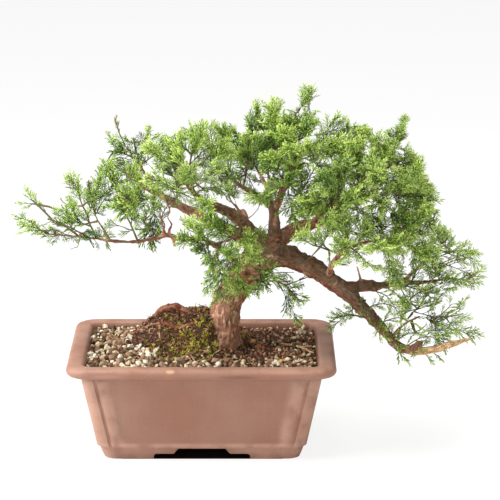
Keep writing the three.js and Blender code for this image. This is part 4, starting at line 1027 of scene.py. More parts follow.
def stemAndLeaves(node, woodTree, draw):
    # The solid's leaf points become places for spriglets, and its stem is left without them.
    mesh = bmesh.new()
    mesh.from_mesh(node.data)
    bmesh.ops.remove_doubles(mesh, verts=mesh.verts, dist=0.00001)
    apexes, leaves = [], []
    for vertex in mesh.verts:
        if sum(loop.calc_angle() for loop in vertex.link_loops) > leafLook["sharp"]:
            continue
        corners = [edge.other_vert(vertex).co for edge in vertex.link_edges]
        base = sum(corners, Vector()) / len(corners)
        leaves.append((base, vertex.co - base))
        apexes.append(vertex)
    bmesh.ops.dissolve_verts(mesh, verts=apexes)
    bmesh.ops.join_triangles(
        mesh, faces=[face for face in mesh.faces if len(face.verts) == 3],
        angle_face_threshold=1.2, angle_shape_threshold=3.1,
    )
    nearest = sorted(mesh.verts, key=lambda vertex: woodTree.find_nearest(vertex.co)[3])[:4]
    root = sum((vertex.co for vertex in nearest), Vector()) / 4
    for face in mesh.faces:
        edge = max(face.edges, key=lambda side: side.calc_length())
        length = edge.calc_length()
        if length < 0.009 or draw.random() > leafLook["extraShare"]:
            continue
        along = (edge.verts[1].co - edge.verts[0].co).normalized()
        middle = face.calc_center_median()
        if along.dot(middle - root) < 0:
            along = -along
        if (middle - root).length < leafLook["bareRoot"] / 1000:
            continue
        start = middle + along * length * draw.uniform(-0.35, 0.35)
        aim = (face.normal * 0.7 + along).normalized() * leafLook["extraLength"] / 1000
        aim *= draw.uniform(0.8, 1.2)
        leaves.append((start, aim))
    mesh.normal_update()
    for vertex in mesh.verts:
        vertex.co = crooked(vertex.co - vertex.normal * leafLook["slimmer"] / 1000, root)
    leaves = [(crooked(base, root), aim) for base, aim in leaves]
    for vertex in nearest:
        surface, normal, _, _ = woodTree.find_nearest(vertex.co)
        vertex.co = surface - normal * leafLook["rootSink"] / 1000
    return mesh, leaves, root


def seenFromFront(place):  # where the photo's eye sees a place, across and up in mm at the pot, and how far
    away = place - Vector(eye["place"])
    pitch = math.radians(eye["downward"])
    depth = away.y * math.cos(pitch) - away.z * math.sin(pitch)
    scale = potDistance / depth
    return away.x * scale, (away.y * math.sin(pitch) + away.z * math.cos(pitch)) * scale, depth


def limbsInSight():  # the stretches of limb to keep in sight, as the eye sees them
    found = []
    for name, low, high, room in clearViews:
        for middle, _, _, _, radius, _ in limbStations(limbs[name])[::3]:
            if low <= middle.x <= high:
                found.append(seenFromFront(middle) + (radius + room,))
    return np.array(found)


def blocksView(base, aim, stretches):
    for share in (0.3, 0.9):
        across, up, _ = seenFromFront(inPot(base + aim * share))
        if any(math.hypot(across - x, up - y) < radius for x, y, radius in openings):
            return True
    across, up, _ = seenFromFront(inPot(bentIn(base) + aim * leafLook["growth"]))
    if any(math.hypot(across - x, up - y) < radius * leafLook["emptyDip"] for x, y, radius in dips):
        return True
    across, up, depth = seenFromFront(inPot(base + aim * 0.5))
    near = (stretches[:, 0] - across) ** 2 + (stretches[:, 1] - up) ** 2 < stretches[:, 3] ** 2
    return bool(np.any(near & (stretches[:, 2] > depth - 4)))


def bentIn(place):  # moved out of the dips, square to the view
    across, up, depth = seenFromFront(inPot(place))
    pitch = math.radians(eye["downward"])
    for x, y, radius in dips:
        away = math.hypot(across - x, up - y)
        if away < radius:
            share = away / radius
            move = (radius * (0.7 + 0.3 * share) / max(away, 1) - 1) * blendStep(0, 0.5, share)
            move *= depth / potDistance / 1000
            rise = (up - y) * move
            place = place + Vector(((across - x) * move, rise * math.sin(pitch), rise * math.cos(pitch)))
    return place


def randomWay(draw):
    return Vector((draw.gauss(0, 1), draw.gauss(0, 1), draw.gauss(0, 1))).normalized()


def turnedAside(aim, draw, most):
    return (aim.normalized() + randomWay(draw) * most).normalized() * aim.length


def limbTufts(draw):  # spriglets that grow straight from thin wood
    found = []
    for name, start in leafyLimbs.items():
        stations = limbStations(limbs[name])
        for middle, forward, side, up, radius, along in stations[int(start * len(stations)):]:
            if radius > leafLook["limbTuftRadius"] or draw.random() > leafLook["limbTufts"] or middle.x > 262:
                continue
            angle = draw.uniform(0, 2 * math.pi)
            out = side * math.cos(angle) + up * math.sin(angle)
            aim = (out + forward * 0.7 + Vector((0, 0, 0.3))).normalized() * leafLook["extraLength"] / 1000
            found.append((fromPot(*(middle + out * radius * 0.7)), aim))
    return found


shoots = {  # feathery shoots that fill out a spray or reach past its outline
    "apex_top": [
        [(110, 38, 355), (108, 40, 365), (104, 42, 374)], [(117, 36, 362), (122, 34, 374), (125, 34, 385)],
    ],
    "crown_left_outer": [[(72, 40, 352), (65, 40, 364), (58, 40, 372)]],
    "crown_right_inner": [
        [(135, 30, 350), (148, 30, 354), (158, 28, 359)], [(144, 26, 341), (160, 22, 349), (170, 20, 363)],
    ],
    "crown_right_outer": [[(161, 30, 329), (169, 26, 341), (178, 26, 348)]],
    "far_right_top": [
        [(210, 26, 330), (221, 22, 338), (232, 20, 344)], [(219, 20, 315), (232, 16, 320), (245, 14, 321)],
    ],
    "far_right_end": [[(225, 10, 301), (236, 8, 303), (247, 6, 300)]],
    "middle_top": [
        [(150, 20, 316), (161, 16, 332), (166, 14, 339)], [(135, 0, 292), (149, -6, 307), (158, -8, 314)],
    ],
    "crown_front": [
        [(110, 10, 324), (128, 4, 332), (139, 0, 335)], [(94, 20, 305), (99, 16, 323), (103, 14, 335)],
    ],
    "middle_left": [
        [(110, 10, 266), (126, 0, 279), (139, -6, 288)], [(106, 10, 283), (117, 4, 298), (123, 0, 310)],
    ],
    "middle_low": [[(166, -10, 246), (188, -16, 240), (205, -20, 234)]],
    "side_upper": [
        [(247, 20, 206), (268, 20, 218), (283, 22, 229)], [(253, 16, 195), (274, 16, 204), (291, 16, 212)],
    ],
    "side_end": [
        [(270, 22, 184), (286, 22, 184), (301, 22, 181)], [(267, 14, 211), (285, 11, 217), (303, 8, 209)],
        [(260, 16, 205), (276, 6, 204), (291, 2, 199)],
    ],
    "side_lower": [
        [(215, 0, 187), (222, -8, 201), (228, -12, 212)],
        [(229, 0, 179), (238, -10, 191), (246, -14, 204)],
        [(224, 0, 180), (229, -8, 171), (234, -12, 162)], [(241, 4, 182), (251, -4, 177), (258, -8, 168)],
    ],
    "low_end": [
        [(257, -20, 144), (270, -24, 154), (281, -26, 166)],
        [(243, -24, 135), (261, -28, 136), (279, -30, 139)],
    ],
    "low_upper": [[(235, -10, 167), (248, -10, 178), (259, -10, 190)]],
    "low_left": [
        [(198, -36, 155), (196, -44, 149), (203, -48, 141)],
        [(204, -36, 148), (220, -44, 155), (235, -50, 152)],
        [(191, -30, 165), (204, -40, 170), (219, -44, 166)],
        [(184, -26, 171), (181, -40, 167), (188, -48, 161)],
        [(173, -28, 164), (163, -36, 157), (154, -40, 150)],
        [(193, -22, 181), (207, -28, 176), (216, -34, 165)],
    ],
    "low_middle": [
        [(220, -42, 129), (233, -48, 140), (248, -52, 152)],
        [(229, -44, 122), (244, -50, 133), (262, -54, 137)],
        [(213, -40, 137), (208, -48, 128), (217, -52, 120)], [(265, 8, 199), (280, 5, 207), (298, 2, 213)],
        [(200, -18, 186), (214, -24, 181), (224, -30, 173)],
    ],
    "left_tip_upper": [
        [(-161, -42, 274), (-172, -44, 279), (-185, -46, 282)],
        [(-163, -44, 256), (-153, -46, 252), (-141, -48, 250)],
    ],
    "left_tip_lower": [[(-162, -40, 254), (-175, -42, 255), (-188, -44, 255)]],
    "left_up_outer": [
        [(-80, 36, 326), (-87, 38, 334), (-92, 40, 344)],
        [(-107, 28, 319), (-93, 24, 324), (-79, 20, 321)],
    ],
    "left_up_middle": [
        [(-62, 36, 319), (-64, 38, 332), (-71, 40, 341)], [(-64, 16, 344), (-58, 12, 353), (-50, 8, 361)],
    ],
    "mid_top_left": [[(11, 10, 333), (12, 8, 345), (9, 8, 354)], [(-1, 8, 340), (4, 4, 331), (11, 0, 320)]],
    "left_mid_high": [[(-107, -14, 290), (-113, -12, 301), (-117, -10, 309)]],
    "pad_right": [
        [(49, -36, 242), (63, -42, 242), (75, -46, 237)], [(43, -36, 252), (56, -40, 252), (67, -44, 248)],
        [(54, -36, 233), (67, -44, 228), (78, -50, 221)],
    ],
    "pad_top": [
        [(26, -40, 248), (16, -44, 258), (5, -46, 265)], [(32, -40, 253), (27, -44, 264), (16, -46, 270)],
    ],
    "pad_left": [[(23, -60, 221), (10, -72, 226), (-3, -80, 233)]],
    "drooping": [
        [(60, -50, 204), (80, -58, 210), (103, -62, 212)],
        [(78, -56, 207), (94, -62, 201), (106, -66, 186)],
        [(150, -20, 212), (161, -24, 220), (174, -28, 227)],
    ],
    "mid_left_outer": [
        [(-5, 4, 288), (10, 0, 295), (26, -4, 292)], [(-7, 0, 301), (5, -4, 306), (17, -8, 301)],
        [(-6, 4, 328), (4, 0, 338), (14, -4, 343)],
    ],
    "mid_left_front": [[(-35, -26, 297), (-21, -30, 294), (-7, -34, 288)]],
    "mid_top_right": [[(46, 26, 309), (53, 23, 299), (58, 20, 290)]],
    "left_mid_front": [[(-45, -18, 262), (-41, -22, 274), (-34, -26, 284)]],
    "left_low_high": [
        [(-112, -14, 286), (-106, -17, 294), (-99, -20, 303)],
        [(-118, -20, 269), (-115, -23, 276), (-110, -26, 284)],
    ],
    "front_right_end": [[(196, -20, 247), (206, -25, 254), (213, -30, 261)]],
    "left_low_front": [[(-133, -42, 252), (-126, -45, 249), (-118, -48, 245)]],
    "side_back": [[(258, 20, 196), (274, 12, 200), (288, 8, 206)]],
    "middle_end": [
        [(196, 14, 272), (208, 6, 280), (221, -2, 289)], [(205, 10, 284), (214, 6, 294), (226, 0, 300)],
    ],
    "middle_high": [[(190, 10, 296), (205, 4, 303), (219, -4, 308)]],
}


def growShoot(mesh, leaves, route, woodTree, draw):  # from the nearest wood or stem, with spriglets each side
    steps = leafLook["shootSteps"]
    begin = fromPot(*route[0])
    stem = min((vertex.co for vertex in mesh.verts), key=lambda place: (place - begin).length)
    onWood = woodTree.find_nearest(begin)[0]
    source = inPot(min((stem, onWood), key=lambda place: (place - begin).length))
    places, _ = curvePoints([(*source, 1)] + [place + (1,) for place in route], steps)
    places = [fromPot(*place) for place in places]
    before = None
    for step, place in enumerate(places):
        forward = (places[min(step + 1, steps)] - places[max(step - 1, 0)]).normalized()
        side = forward.cross(Vector((0, 1, 0.2))).normalized()
        up = side.cross(forward)
        radius = leafLook["shootRadius"] / 1000 * (1 - 0.6 * step / steps)
        turns = [(math.cos(turn * 2.0944), math.sin(turn * 2.0944)) for turn in range(3)]
        ring = [mesh.verts.new(place + (side * across + up * above) * radius) for across, above in turns]
        if before:
            for corner in range(3):
                mesh.faces.new((before[corner], before[corner - 2], ring[corner - 2], ring[corner]))
        else:
            mesh.faces.new(ring[::-1])
        before = ring
        if step > 2:
            hand = 1 if step % 2 else -1
            aim = forward + side * hand * 0.75 + up * draw.uniform(-0.5, 0.5)
            leaves.append((place, aim.normalized() * draw.uniform(0.01, 0.013)))
    mesh.faces.new(before)
    leaves.append((places[-1], forward * 0.016))


def clumpOf(name):
    return next(values for start, values in clumps.items() if name.startswith("spray_" + start))


def brushed(aim, outward, name):  # turned towards the spray's end and a little up
    rising = Vector((0, 0, -0.1 if "drooping" in name else 0.2))
    return (aim.normalized() + outward.normalized() * leafLook["brushing"] + rising).normalized() * aim.length


def readSprays(woodTree):  # each solid spray's stem, leaves and root, with the tufts of thin limbs shared out
    names = sorted(name for name in frame["nodes"] if name.startswith("spray_"))
    sprays = {name: stemAndLeaves(frame["nodes"][name], woodTree, random.Random(name)) for name in names}
    owners = [(base, name) for name in names for base, aim in sprays[name][1]]
    nearby = KDTree(len(owners))
    for number, (base, name) in enumerate(owners):
        nearby.insert(base, number)
    nearby.balance()
    for base, aim in limbTufts(random.Random(12)):
        sprays[owners[nearby.find(base)[1]][1]][1].append((base, aim))
    return sprays


def leafValues(leaves, root, lighter, size, draw):  # for each leaf its length, tone and whether it is dry
    farthest = max(((base - root).length for base, aim in leaves), default=1)
    lowest = min((base.z for base, aim in leaves), default=0)
    highest = max((base.z for base, aim in leaves), default=1)
    longest = 1.25 * leafLook["usual"] / 1000
    look = leafLook["tone"]
    found = []
    for base, aim in leaves:
        outer = (base - root).length / farthest
        above = (base.z - lowest) / max(0.001, highest - lowest)
        cloud = noise.noise(base * 28) * look["clouds"]
        # outer and higher leaves, and lighter clumps, get a lighter tone: painted light and shade
        tone = look["least"] + look["outer"] * outer + look["above"] * above + cloud + lighter
        tone += draw.uniform(-look["spread"], look["spread"])
        length = min(longest, aim.length) * leafLook["growth"] * size * (0.85 + 0.3 * outer)
        length *= draw.uniform(0.9, 1.12)
        found.append((length, min(1, max(0, tone)), 0.85 if draw.random() < leafLook["dry"] else 0.0))
    return found


def makeSpray(name, spray, woodTree, stretches, growing):  # returns how many triangles it has
    draw = random.Random("twins of " + name)
    mesh, leaves, root = spray
    lighter, twins, size = clumpOf(name)
    leaves = [(base, brushed(aim, base - root, name)) for base, aim in leaves]
    for route in shoots.get(name[6:], []):
        growShoot(mesh, leaves, route, woodTree, draw)
    for base, aim in list(leaves):
        for _ in range(int(max(0, twins) + draw.random())):
            forked = base + aim * leafLook["growth"] * draw.uniform(0.15, 0.55)
            leaves.append((forked, turnedAside(aim, draw, 0.85) * draw.uniform(0.75, 1.05)))
    leaves = [leaf for leaf in leaves if draw.random() > -twins and not blocksView(*leaf, stretches)]
    mesh.verts.index_update()
    stem = [bentIn(vertex.co) for vertex in mesh.verts]
    faces = [[vertex.index for vertex in face.verts] for face in mesh.faces]
    mesh.free()
    found = leafValues(leaves, root, lighter, size, draw)
    values = {
        "length": [0.0] * len(stem) + [length for length, tone, dry in found],
        "tone": [0.3] * len(stem) + [tone for length, tone, dry in found],
        "woody": [1.0] * len(stem) + [dry for length, tone, dry in found],
    }
    points = stem + [bentIn(base) for base, aim in leaves]
    piece = newPiece("foliage_" + name[6:], points, faces, foliage, values)
    aims = [0.0] * 3 * len(stem) + [part for base, aim in leaves for part in aim]
    piece.data.attributes.new("aim", "FLOAT_VECTOR", "POINT").data.foreach_set("vector", aims)
    growModifier(piece, *growing)
    bakeModifiers(piece)
    shadeSmooth(piece)
    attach(piece, "root")
    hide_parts(name)
    return sum(len(face.vertices) - 2 for face in piece.data.polygons)


def makeFoliage():
    kinds = bpy.data.collections.new("spriglets")
    for kind in range(leafLook["kinds"]):
        kinds.objects.link(makeSpriglet(kind))
    growing = makeLeafTree(), {"Spriglets": kinds, "Size": 1.0, "Roll": 6.28, "Seed": 5, "Material": foliage}
    trunk = frame["nodes"]["trunk"].data
    woodTree = BVHTree.FromPolygons([v.co for v in trunk.vertices], [p.vertices[:] for p in trunk.polygons])
    stretches = limbsInSight()
    sprays = readSprays(woodTree)
    return sum(makeSpray(name, spray, woodTree, stretches, growing) for name, spray in sprays.items())


foliage = foliageMaterial()
print("foliage made,", makeFoliage(), "triangles")

# The soil and what lies on it

soilLook = {
    "half": (129, 91.9),
    "corner": 13.65,
    "bottomHalf": (104.6, 71.6),
    "bottomZ": 22,
    "rings": 34,
    "sideSteps": 14,
    "arcSteps": 5,
    "mossRise": [(-6, -31, 24, 15, 3.5), (1, 12, 15, 17, 7), (5, -18, 11, 14, 15)],  # middle, reach, height
    "mossCover": [(-18, -33, 34, 15, 1.1), (1, -12, 13, 26, 0.3)],  # the same, with the share of moss
}


def earthMaterial(name, colours):  # granules in several colours, picked by their own shade
    material, tree, shader = newMaterial(name, 0.9, 0.15)
    place = objectPlace(tree)
    ramp = addNode(tree, "ShaderNodeValToRGB", {"Fac": readAttribute(tree, "shade")})
    ramp.color_ramp.interpolation = "CONSTANT"
    stops = ramp.color_ramp.elements
    stops[0].color = hexColour(colours[0])
    stops[1].position, stops[1].color = 1 / len(colours), hexColour(colours[1])
    for number in range(2, len(colours)):
        stops.new(number / len(colours)).color = hexColour(colours[number])
    dusty = tinted(tree, ramp.outputs["Color"], mottle(tree, place, 700, 0.4, 0.7), colours[-1])
    colour = mixColours(tree, 0.35, ramp.outputs["Color"], dusty)
    colour = tinted(tree, colour, mottle(tree, place, 1300, 0.55, 0.72), "4a382b", 0.5)
    tree.links.new(colour, shader.inputs["Base Color"])
    grit = addNode(tree, "ShaderNodeTexNoise", {"Vector": place, "Scale": 1500.0, "Detail": 4.0})
    setBump(tree, shader, grit.outputs["Fac"], 0.0006)
    return material


def roundOutline(half, corner):
    outline = []
    steps, sideSteps = soilLook["arcSteps"], soilLook["sideSteps"]
    for quarter in range(4):
        signX = 1 if quarter in (0, 3) else -1
        signY = 1 if quarter < 2 else -1
        arc = []
        for step in range(steps + 1):
            angle = (quarter + step / steps) * math.pi / 2
            x = signX * (half[0] - corner) + corner * math.cos(angle)
            arc.append(Vector((x, signY * (half[1] - corner) + corner * math.sin(angle))))
        outline.append(arc)
    points = []
    for quarter in range(4):
        points += outline[quarter]
        end, start = outline[quarter][-1], outline[(quarter + 1) % 4][0]
        points += [end.lerp(start, step / sideSteps) for step in range(1, sideSteps)]
    return points


def soilZones(x, y):  # shares of light gravel, moss and fibres at a place
    edge = x + 0.28 * y + 10 * noise.noise(Vector((x, y, 0)) / 22)
    gravel = blendStep(-46, -62, edge)
    front = blendStep(-44, -62, y + 8 * noise.noise(Vector((x, y, 5)) / 18)) * (0.95 if x < 44 else 0.35)
    right = 0.3 * blendStep(84, 118, x)
    moss = bedsAt(soilLook["mossCover"], x, y)
    clouds = blendStep(0.1, 0.4, noise.noise(Vector((x, y, 9)) / 20))
    moss += 0.16 * clouds * blendStep(110, 125, soilHeight(x, y))
    heaped = blendStep(108, 120, soilHeight(x, y))
    return max(gravel, front, right) * (1 - 0.9 * heaped) * (1 - 0.8 * min(1, moss)), min(1, moss), heaped


def bedsAt(beds, x, y):  # the height or share that these round beds have at a place
    found = 0
    for middleX, middleY, reachX, reachY, most in beds:
        found += most * math.exp(-(((x - middleX) / reachX) ** 2 + ((y - middleY) / reachY) ** 2))
    return found


def makeSoil():
    look = soilLook
    rim = roundOutline(look["half"], look["corner"])
    count = len(rim)
    low = roundOutline(look["bottomHalf"], look["corner"])
    points = [(p.x, p.y, look["bottomZ"]) for p in low] + [(p.x, p.y, heap["edge"] - 6) for p in rim]
    middle = Vector((heap["x"], heap["y"]))
    for ring in range(look["rings"]):
        share = (ring / look["rings"]) ** 0.92
        for corner in rim:
            place = corner.lerp(middle, share)
            where = Vector((place.x, place.y, 0))
            heaped = blendStep(108, 120, soilHeight(place.x, place.y))
            rough = (1.5 + 2.2 * heaped) * noise.noise(where / 8)
            rough += (0.9 + 0.9 * heaped) * noise.noise(where / 3.5)
            rough += bedsAt(look["mossRise"], place.x, place.y)  # the moss stands up against the trunk
            rough = rough * blendStep(0, 0.06, share) - 3.2 * blendStep(0.05, 0.0, share)
            points.append((place.x, place.y, soilHeight(place.x, place.y) - 0.8 + rough))
    points.append((middle.x, middle.y, soilHeight(*middle) - 0.8))
    faces = [list(range(count))[::-1]]
    for ring in range(look["rings"] + 1):
        near = ring * count
        for side in range(count):
            after = (side + 1) % count
            faces.append((near + side, near + after, near + count + after, near + count + side))
    last = (look["rings"] + 1) * count
    for side in range(count):
        faces.append((last + side, last + (side + 1) % count, len(points) - 1))
    surface = heap["edge"] - 5.5
    zones = [soilZones(x, y) if z > surface else (0, 0, 0) for x, y, z in points]
    free = [min(1, 1.1 - zone[0]) if point[2] > surface else 0 for zone, point in zip(zones, points)]
    attributes = {
        "gravel": [zone[0] for zone in zones],
        "mossy": [zone[1] for zone in zones],
        "heaped": [zone[2] for zone in zones],
        "crumbs": free,
        "pebbly": [share * (1 - zone[2]) for share, zone in zip(free, zones)],
        "shade": [0.5 + 0.5 * noise.noise(Vector(point) / 4) for point in points],
    }
    soil = newPiece("soil", [fromPot(*point) for point in points], faces, earth, attributes)
    shadeSmooth(soil)
    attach(soil, "root")
    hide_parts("soil")
    return soil


def makeScatterTree():
    sockets = {
        "Geometry": ("Geometry", None), "Shapes": ("Collection", None), "Where": ("String", "gravel"),
        "Spacing": ("Float", 0.004), "Density": ("Float", 60000.0), "Smallest": ("Float", 0.002),
        "Largest": ("Float", 0.004), "Tilt": ("Float", math.pi), "Lift": ("Float", 0.0), "Seed": ("Int", 1),
        "Material": ("Material", None),
    }
    tree, given, result = newGroup("scatter", "GeometryNodeTree", sockets, ("Geometry", "Geometry"))
    wanted = addNode(tree, "GeometryNodeInputNamedAttribute", {"Name": given["Where"]}, data_type="FLOAT")
    spots = addNode(
        tree, "GeometryNodeDistributePointsOnFaces",
        {
            "Mesh": given["Geometry"], "Distance Min": given["Spacing"], "Density Max": given["Density"],
            "Density Factor": wanted.outputs["Attribute"], "Seed": given["Seed"],
        },
        distribute_method="POISSON",
    )

    def randomOf(kind, low, high, shift):
        seed = calculate(tree, "ADD", given["Seed"], shift)
        first, last, drawn = {"FLOAT": (2, 3, 1), "INT": (4, 5, 2)}[kind]
        inputs = {"Seed": seed, first: low, last: high}
        return addNode(tree, "FunctionNodeRandomValue", inputs, data_type=kind).outputs[drawn]

    shade = {"Geometry": spots.outputs["Points"], "Name": "shade", "Value": randomOf("FLOAT", 0.0, 1.0, 11)}
    shaded = addNode(tree, "GeometryNodeStoreNamedAttribute", shade, data_type="FLOAT", domain="POINT")
    back = product(tree, given["Tilt"], -1.0)
    tilts = [randomOf("FLOAT", back, given["Tilt"], shift) for shift in (21, 22)]
    angles = {"X": tilts[0], "Y": tilts[1], "Z": randomOf("FLOAT", 0.0, 2 * math.pi, 23)}
    turn = addNode(tree, "ShaderNodeCombineXYZ", angles)
    spin = addNode(tree, "FunctionNodeEulerToRotation", {"Euler": turn.outputs[0]}).outputs["Rotation"]
    lifted = addNode(tree, "ShaderNodeVectorMath", {0: spots.outputs["Normal"]}, operation="SCALE")
    tree.links.new(given["Lift"], lifted.inputs["Scale"])
    inputs = {"Geometry": shaded.outputs["Geometry"], "Offset": lifted.outputs[0]}
    raised = addNode(tree, "GeometryNodeSetPosition", inputs)
    laid = addNode(
        tree, "GeometryNodeInstanceOnPoints",
        {
            "Points": raised.outputs["Geometry"], "Instance": pickShapes(tree, given["Shapes"]),
            "Pick Instance": True, "Instance Index": randomOf("INT", 0, 5, 31),
            "Rotation": turnFurther(tree, spots.outputs["Rotation"], spin),
            "Scale": randomOf("FLOAT", given["Smallest"], given["Largest"], 41),
        },
    )
    finishTree(tree, laid.outputs["Instances"], given["Material"], result)
    return tree


def granule(name, draw, corners, stretch):  # an angular grain, the hull of a few points, about one unit wide
    mesh = bmesh.new()
    for _ in range(corners):
        way = randomWay(draw) * draw.uniform(0.42, 0.55)
        mesh.verts.new([way[axis] * stretch[axis] for axis in range(3)])
    bmesh.ops.convex_hull(mesh, input=mesh.verts)
    bmesh.ops.delete(mesh, geom=[vertex for vertex in mesh.verts if not vertex.link_faces], context="VERTS")
    bmesh.ops.recalc_face_normals(mesh, faces=mesh.faces)
    data = bpy.data.meshes.new(name)
    mesh.to_mesh(data)
    mesh.free()
    return bpy.data.objects.new(name, data)


def strand(name, draw, steps, thickness, wander, fork=0):  # a fine curly fibre, one unit long
    points, faces, tips = [], [], []
    bends = []
    for _ in range(steps):
        aside = [draw.uniform(-wander, wander) for _ in range(2)]
        bends.append(Vector((*aside, draw.uniform(-0.3, 0.3) * wander)))
    stations = addTwiglet(points, faces, tips, Vector(), Vector((1, 0, 0.1)), 1, thickness, bends, (0, 1), 0)
    for number in range(fork):
        place, course = stations[1 + number % (len(stations) - 1)]
        aside = Vector((0, draw.choice((-1, 1)), 0.2))
        addTwiglet(points, faces, tips, place, course + aside, 0.3, thickness * 0.8, [], (0, 1), 0)
    return newShape(name, points, faces, earth)


def mossTuft(name, draw):  # a few short blades that spread upwards
    points, faces, tips = [], [], []
    for _ in range(7):
        way = Vector((draw.uniform(-0.9, 0.9), draw.uniform(-0.9, 0.9), 1))
        start = Vector((draw.uniform(-0.3, 0.3), draw.uniform(-0.3, 0.3), -0.2))
        addTwiglet(points, faces, tips, start, way, draw.uniform(0.5, 0.9), 0.11, [], (0, 1), 0)
    return newShape(name, points, faces, earth)


def shapeSet(name, makeShape):  # six variants of one kind of bit
    found = bpy.data.collections.new(name)
    draw = random.Random(name)
    for number in range(6):
        found.objects.link(makeShape(f"{name}{number}", draw))
    return found


def scatter(name, tree, ground, values, smooth=False):
    bits = bpy.data.objects.new(name, ground.data.copy())
    scene.collection.objects.link(bits)
    growModifier(bits, tree, values)
    bakeModifiers(bits)
    if smooth:
        shadeSmooth(bits)
    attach(bits, "root")
    return sum(len(face.vertices) - 2 for face in bits.data.polygons)


earth = earthMaterial("earth", ["33241b", "46342a", "59443a", "3f2e24"])
pumice = earthMaterial("pumice", [
    "d2bb98", "f4e8ce", "86694f", "ad8e70", "68503c", "e6d0ae", "4f3b2b", "b8957e", "fbf2de", "8e7055",
])
crumbs = earthMaterial("darkCrumbs", [
    "6e4c38", "9a6a4e", "452f24", "b78b6a", "7e5844", "c9a180", "a0644a", "563f33",
])
strays = earthMaterial("strayPebbles", ["d0b48e", "a97f56", "8c6446", "dccaa8", "a08468", "6f5542", "e6d8bc"])
mossGreen = earthMaterial("mossGreen", [
    "a0a636", "d6d054", "4a3c20", "f0e87a", "7a5a34", "b8925a", "5c4029", "c8c44c",
])
fibreBrown = earthMaterial("fibreBrown", ["60402c", "875d41", "3a261b", "b48a62", "6e4a34"])
markedStone = earthMaterial("markedStone", ["f3e8cf", "d9a05e", "bb6a3c", "e4d3b0"])

soil = makeSoil()
scatterTree = makeScatterTree()
grains = shapeSet("grains", lambda name, draw: granule(
    name, draw, 16, (1, draw.uniform(0.7, 0.95), draw.uniform(0.6, 0.85)),
))
bits = shapeSet("bits", lambda name, draw: granule(
    name, draw, 11, (1.2, draw.uniform(0.5, 0.9), draw.uniform(0.4, 0.8)),
))
chips = shapeSet("chips", lambda name, draw: granule(name, draw, 10, (2.2, 0.7, 0.3)))
strands = shapeSet("strands", lambda name, draw: strand(name, draw, 6, 0.035, 0.5, 1))
tufts = shapeSet("tufts", mossTuft)
layers = [  # shapes, where, spacing, density, smallest, largest, tilt, lift, seed, material, smooth
    ("granulesUnder", grains, "gravel", 4.1, 140000, 4.2, 8.8, math.pi, 0.4, 3, pumice, False),
    ("granulesOver", grains, "gravel", 8.6, 40000, 6.4, 11.5, math.pi, 2.4, 4, pumice, False),
    ("darkCrumbsLayer", bits, "crumbs", 2.7, 200000, 2.4, 5.2, math.pi, 0.4, 5, crumbs, False),
    ("strayPebbles", grains, "pebbly", 8.0, 14000, 2.8, 6.2, math.pi, 1.6, 6, strays, False),
    ("barkChips", chips, "crumbs", 7.5, 14000, 2.6, 5.6, 0.5, 1.8, 7, crumbs, False),
    ("gravelChips", chips, "gravel", 9.0, 9000, 3.2, 6.0, 0.4, 2.8, 8, fibreBrown, False),
    ("rootFibres", strands, "heaped", 3.6, 100000, 6.0, 15.0, 0.2, 1.0, 9, fibreBrown, True),
    ("mossCarpet", tufts, "mossy", 2.2, 170000, 3.2, 7.0, 0.5, 1.2, 10, mossGreen, False),
]
for name, shapes, where, spacing, density, smallest, largest, tilt, lift, seed, finish, smooth in layers:
    values = {
        "Shapes": shapes, "Where": where, "Spacing": spacing / 1000, "Density": float(density),
        "Smallest": smallest / 1000, "Largest": largest / 1000, "Tilt": tilt, "Lift": lift / 1000,
        "Seed": seed, "Material": finish,
    }
    print(name, scatter(name, scatterTree, soil, values, smooth), "triangles")

markedPebbles = {  # stones that stand out in the photo: place, size, and which colour of the four
    "cream": ((-60.8, -42), 8.5, 0), "orange": ((56.7, 7.5), 8.5, 1), "rusty": ((64.1, -1), 7, 2),
    "rustyBit": ((69, -3), 5.5, 2), "light": ((96.5, -50), 7.5, 3), "pale": ((104, 38), 8, 3),
    "front": ((-30, -64), 6.5, 3), "ochre": ((88, -56), 6.5, 1), "rightEdge": ((112, -58), 7, 3),
}


def placeMarkedPebbles():
    points, faces, shades = [], [], []
    for number, ((x, y), size, colour) in enumerate(markedPebbles.values()):
        shape = grains.objects[number % 6].data
        first = len(points)
        middle = fromPot(x, y, soilHeight(x, y) + size * 0.28)
        points += [middle + vertex.co * size / 1000 for vertex in shape.vertices]
        faces += [[first + corner for corner in face.vertices] for face in shape.polygons]
        shades += [(colour + 0.5) / 4] * len(shape.vertices)
    pebbles = newPiece("markedPebbles", points, faces, markedStone, {"shade": shades})
    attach(pebbles, "root")


placeMarkedPebbles()
print("soil made")

# Floor, light and camera

studio = {
    "floor": "f6f6f4",
    "floorWhite": 0.82,
    "ambient": 0.38,
    "lamps": {  # place in metres, size, watts
        "key": ((-1.8, -0.75, 1.4), 1.0, 55),
        "top": ((0.1, 0.0, 2.3), 1.5, 46),
        "fill": ((1.5, -2.2, 1.0), 1.4, 7),
        "side": ((-2.2, 0.1, 0.45), 0.9, 17),
    },
}


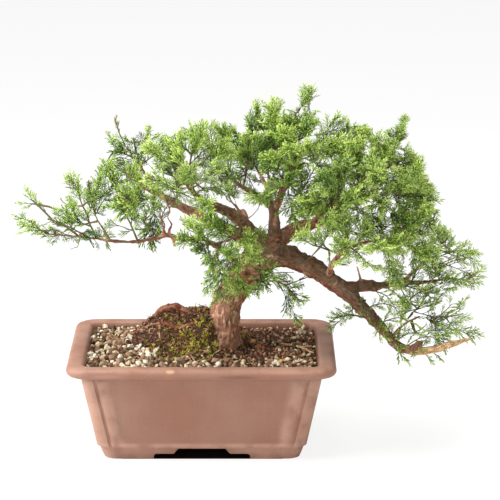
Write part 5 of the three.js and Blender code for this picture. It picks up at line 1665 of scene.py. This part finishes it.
def makeStudio():
    bpy.ops.mesh.primitive_plane_add(size=14, location=(0, 0, 0))
    floor = bpy.context.object
    floor.name = "floor"
    paper, tree, shader = newMaterial("paleFloor", 0.7, 0.1)
    glowing = addNode(tree, "ShaderNodeEmission", {"Color": (1, 1, 1, 1), "Strength": 1.04})
    place = addNode(tree, "ShaderNodeSeparateXYZ", {"Vector": objectPlace(tree)})
    sides = []
    for axis, half in (("X", 0.09), ("Y", 0.0765)):  # no glow under the pot, which shows through its foot
        away = calculate(tree, "SUBTRACT", place.outputs[axis], getattr(potMiddle, axis.lower()))
        sides.append(calculate(tree, "GREATER_THAN", calculate(tree, "ABSOLUTE", away), half))
    outside = calculate(tree, "MAXIMUM", *sides)
    shadow = mixColours(tree, outside, hexColour("2a211d"), hexColour(studio["floor"]))
    tree.links.new(shadow, shader.inputs["Base Color"])
    white = product(tree, outside, studio["floorWhite"])
    seen = product(tree, addNode(tree, "ShaderNodeLightPath").outputs["Is Camera Ray"], white)
    blend = addNode(tree, "ShaderNodeMixShader", {0: seen, 1: shader.outputs[0], 2: glowing.outputs[0]})
    tree.links.new(blend.outputs[0], tree.nodes["Material Output"].inputs["Surface"])
    floor.data.materials.append(paper)
    world = bpy.data.worlds.new("studio")
    world.use_nodes = True
    scene.world = world
    tree = world.node_tree
    background = tree.nodes["Background"]
    background.inputs["Color"].default_value = (1, 1, 1, 1)
    seen = addNode(tree, "ShaderNodeLightPath").outputs["Is Camera Ray"]
    glow = addNode(tree, "ShaderNodeMapRange", {"Value": seen, "To Min": studio["ambient"], "To Max": 1.05})
    tree.links.new(glow.outputs["Result"], background.inputs["Strength"])
    for name, (place, size, watts) in studio["lamps"].items():
        lamp = bpy.data.lights.new(name, "AREA")
        lamp.size, lamp.energy = size, watts
        holder = bpy.data.objects.new(name, lamp)
        holder.location = Vector(place)
        holder.rotation_euler = (Vector((0, 0, 0.15)) - holder.location).to_track_quat("-Z", "Y").to_euler()
        scene.collection.objects.link(holder)
    camera = bpy.data.cameras.new("camera")
    camera.lens, camera.sensor_width = eye["lens"], 36
    holder = bpy.data.objects.new("camera", camera)
    holder.location = fromPot(*eye["place"])
    holder.rotation_euler = (math.radians(90 - eye["downward"]), 0, 0)
    scene.collection.objects.link(holder)
    scene.camera = holder
    scene.view_settings.view_transform = "Standard"


makeStudio()
print("studio made")
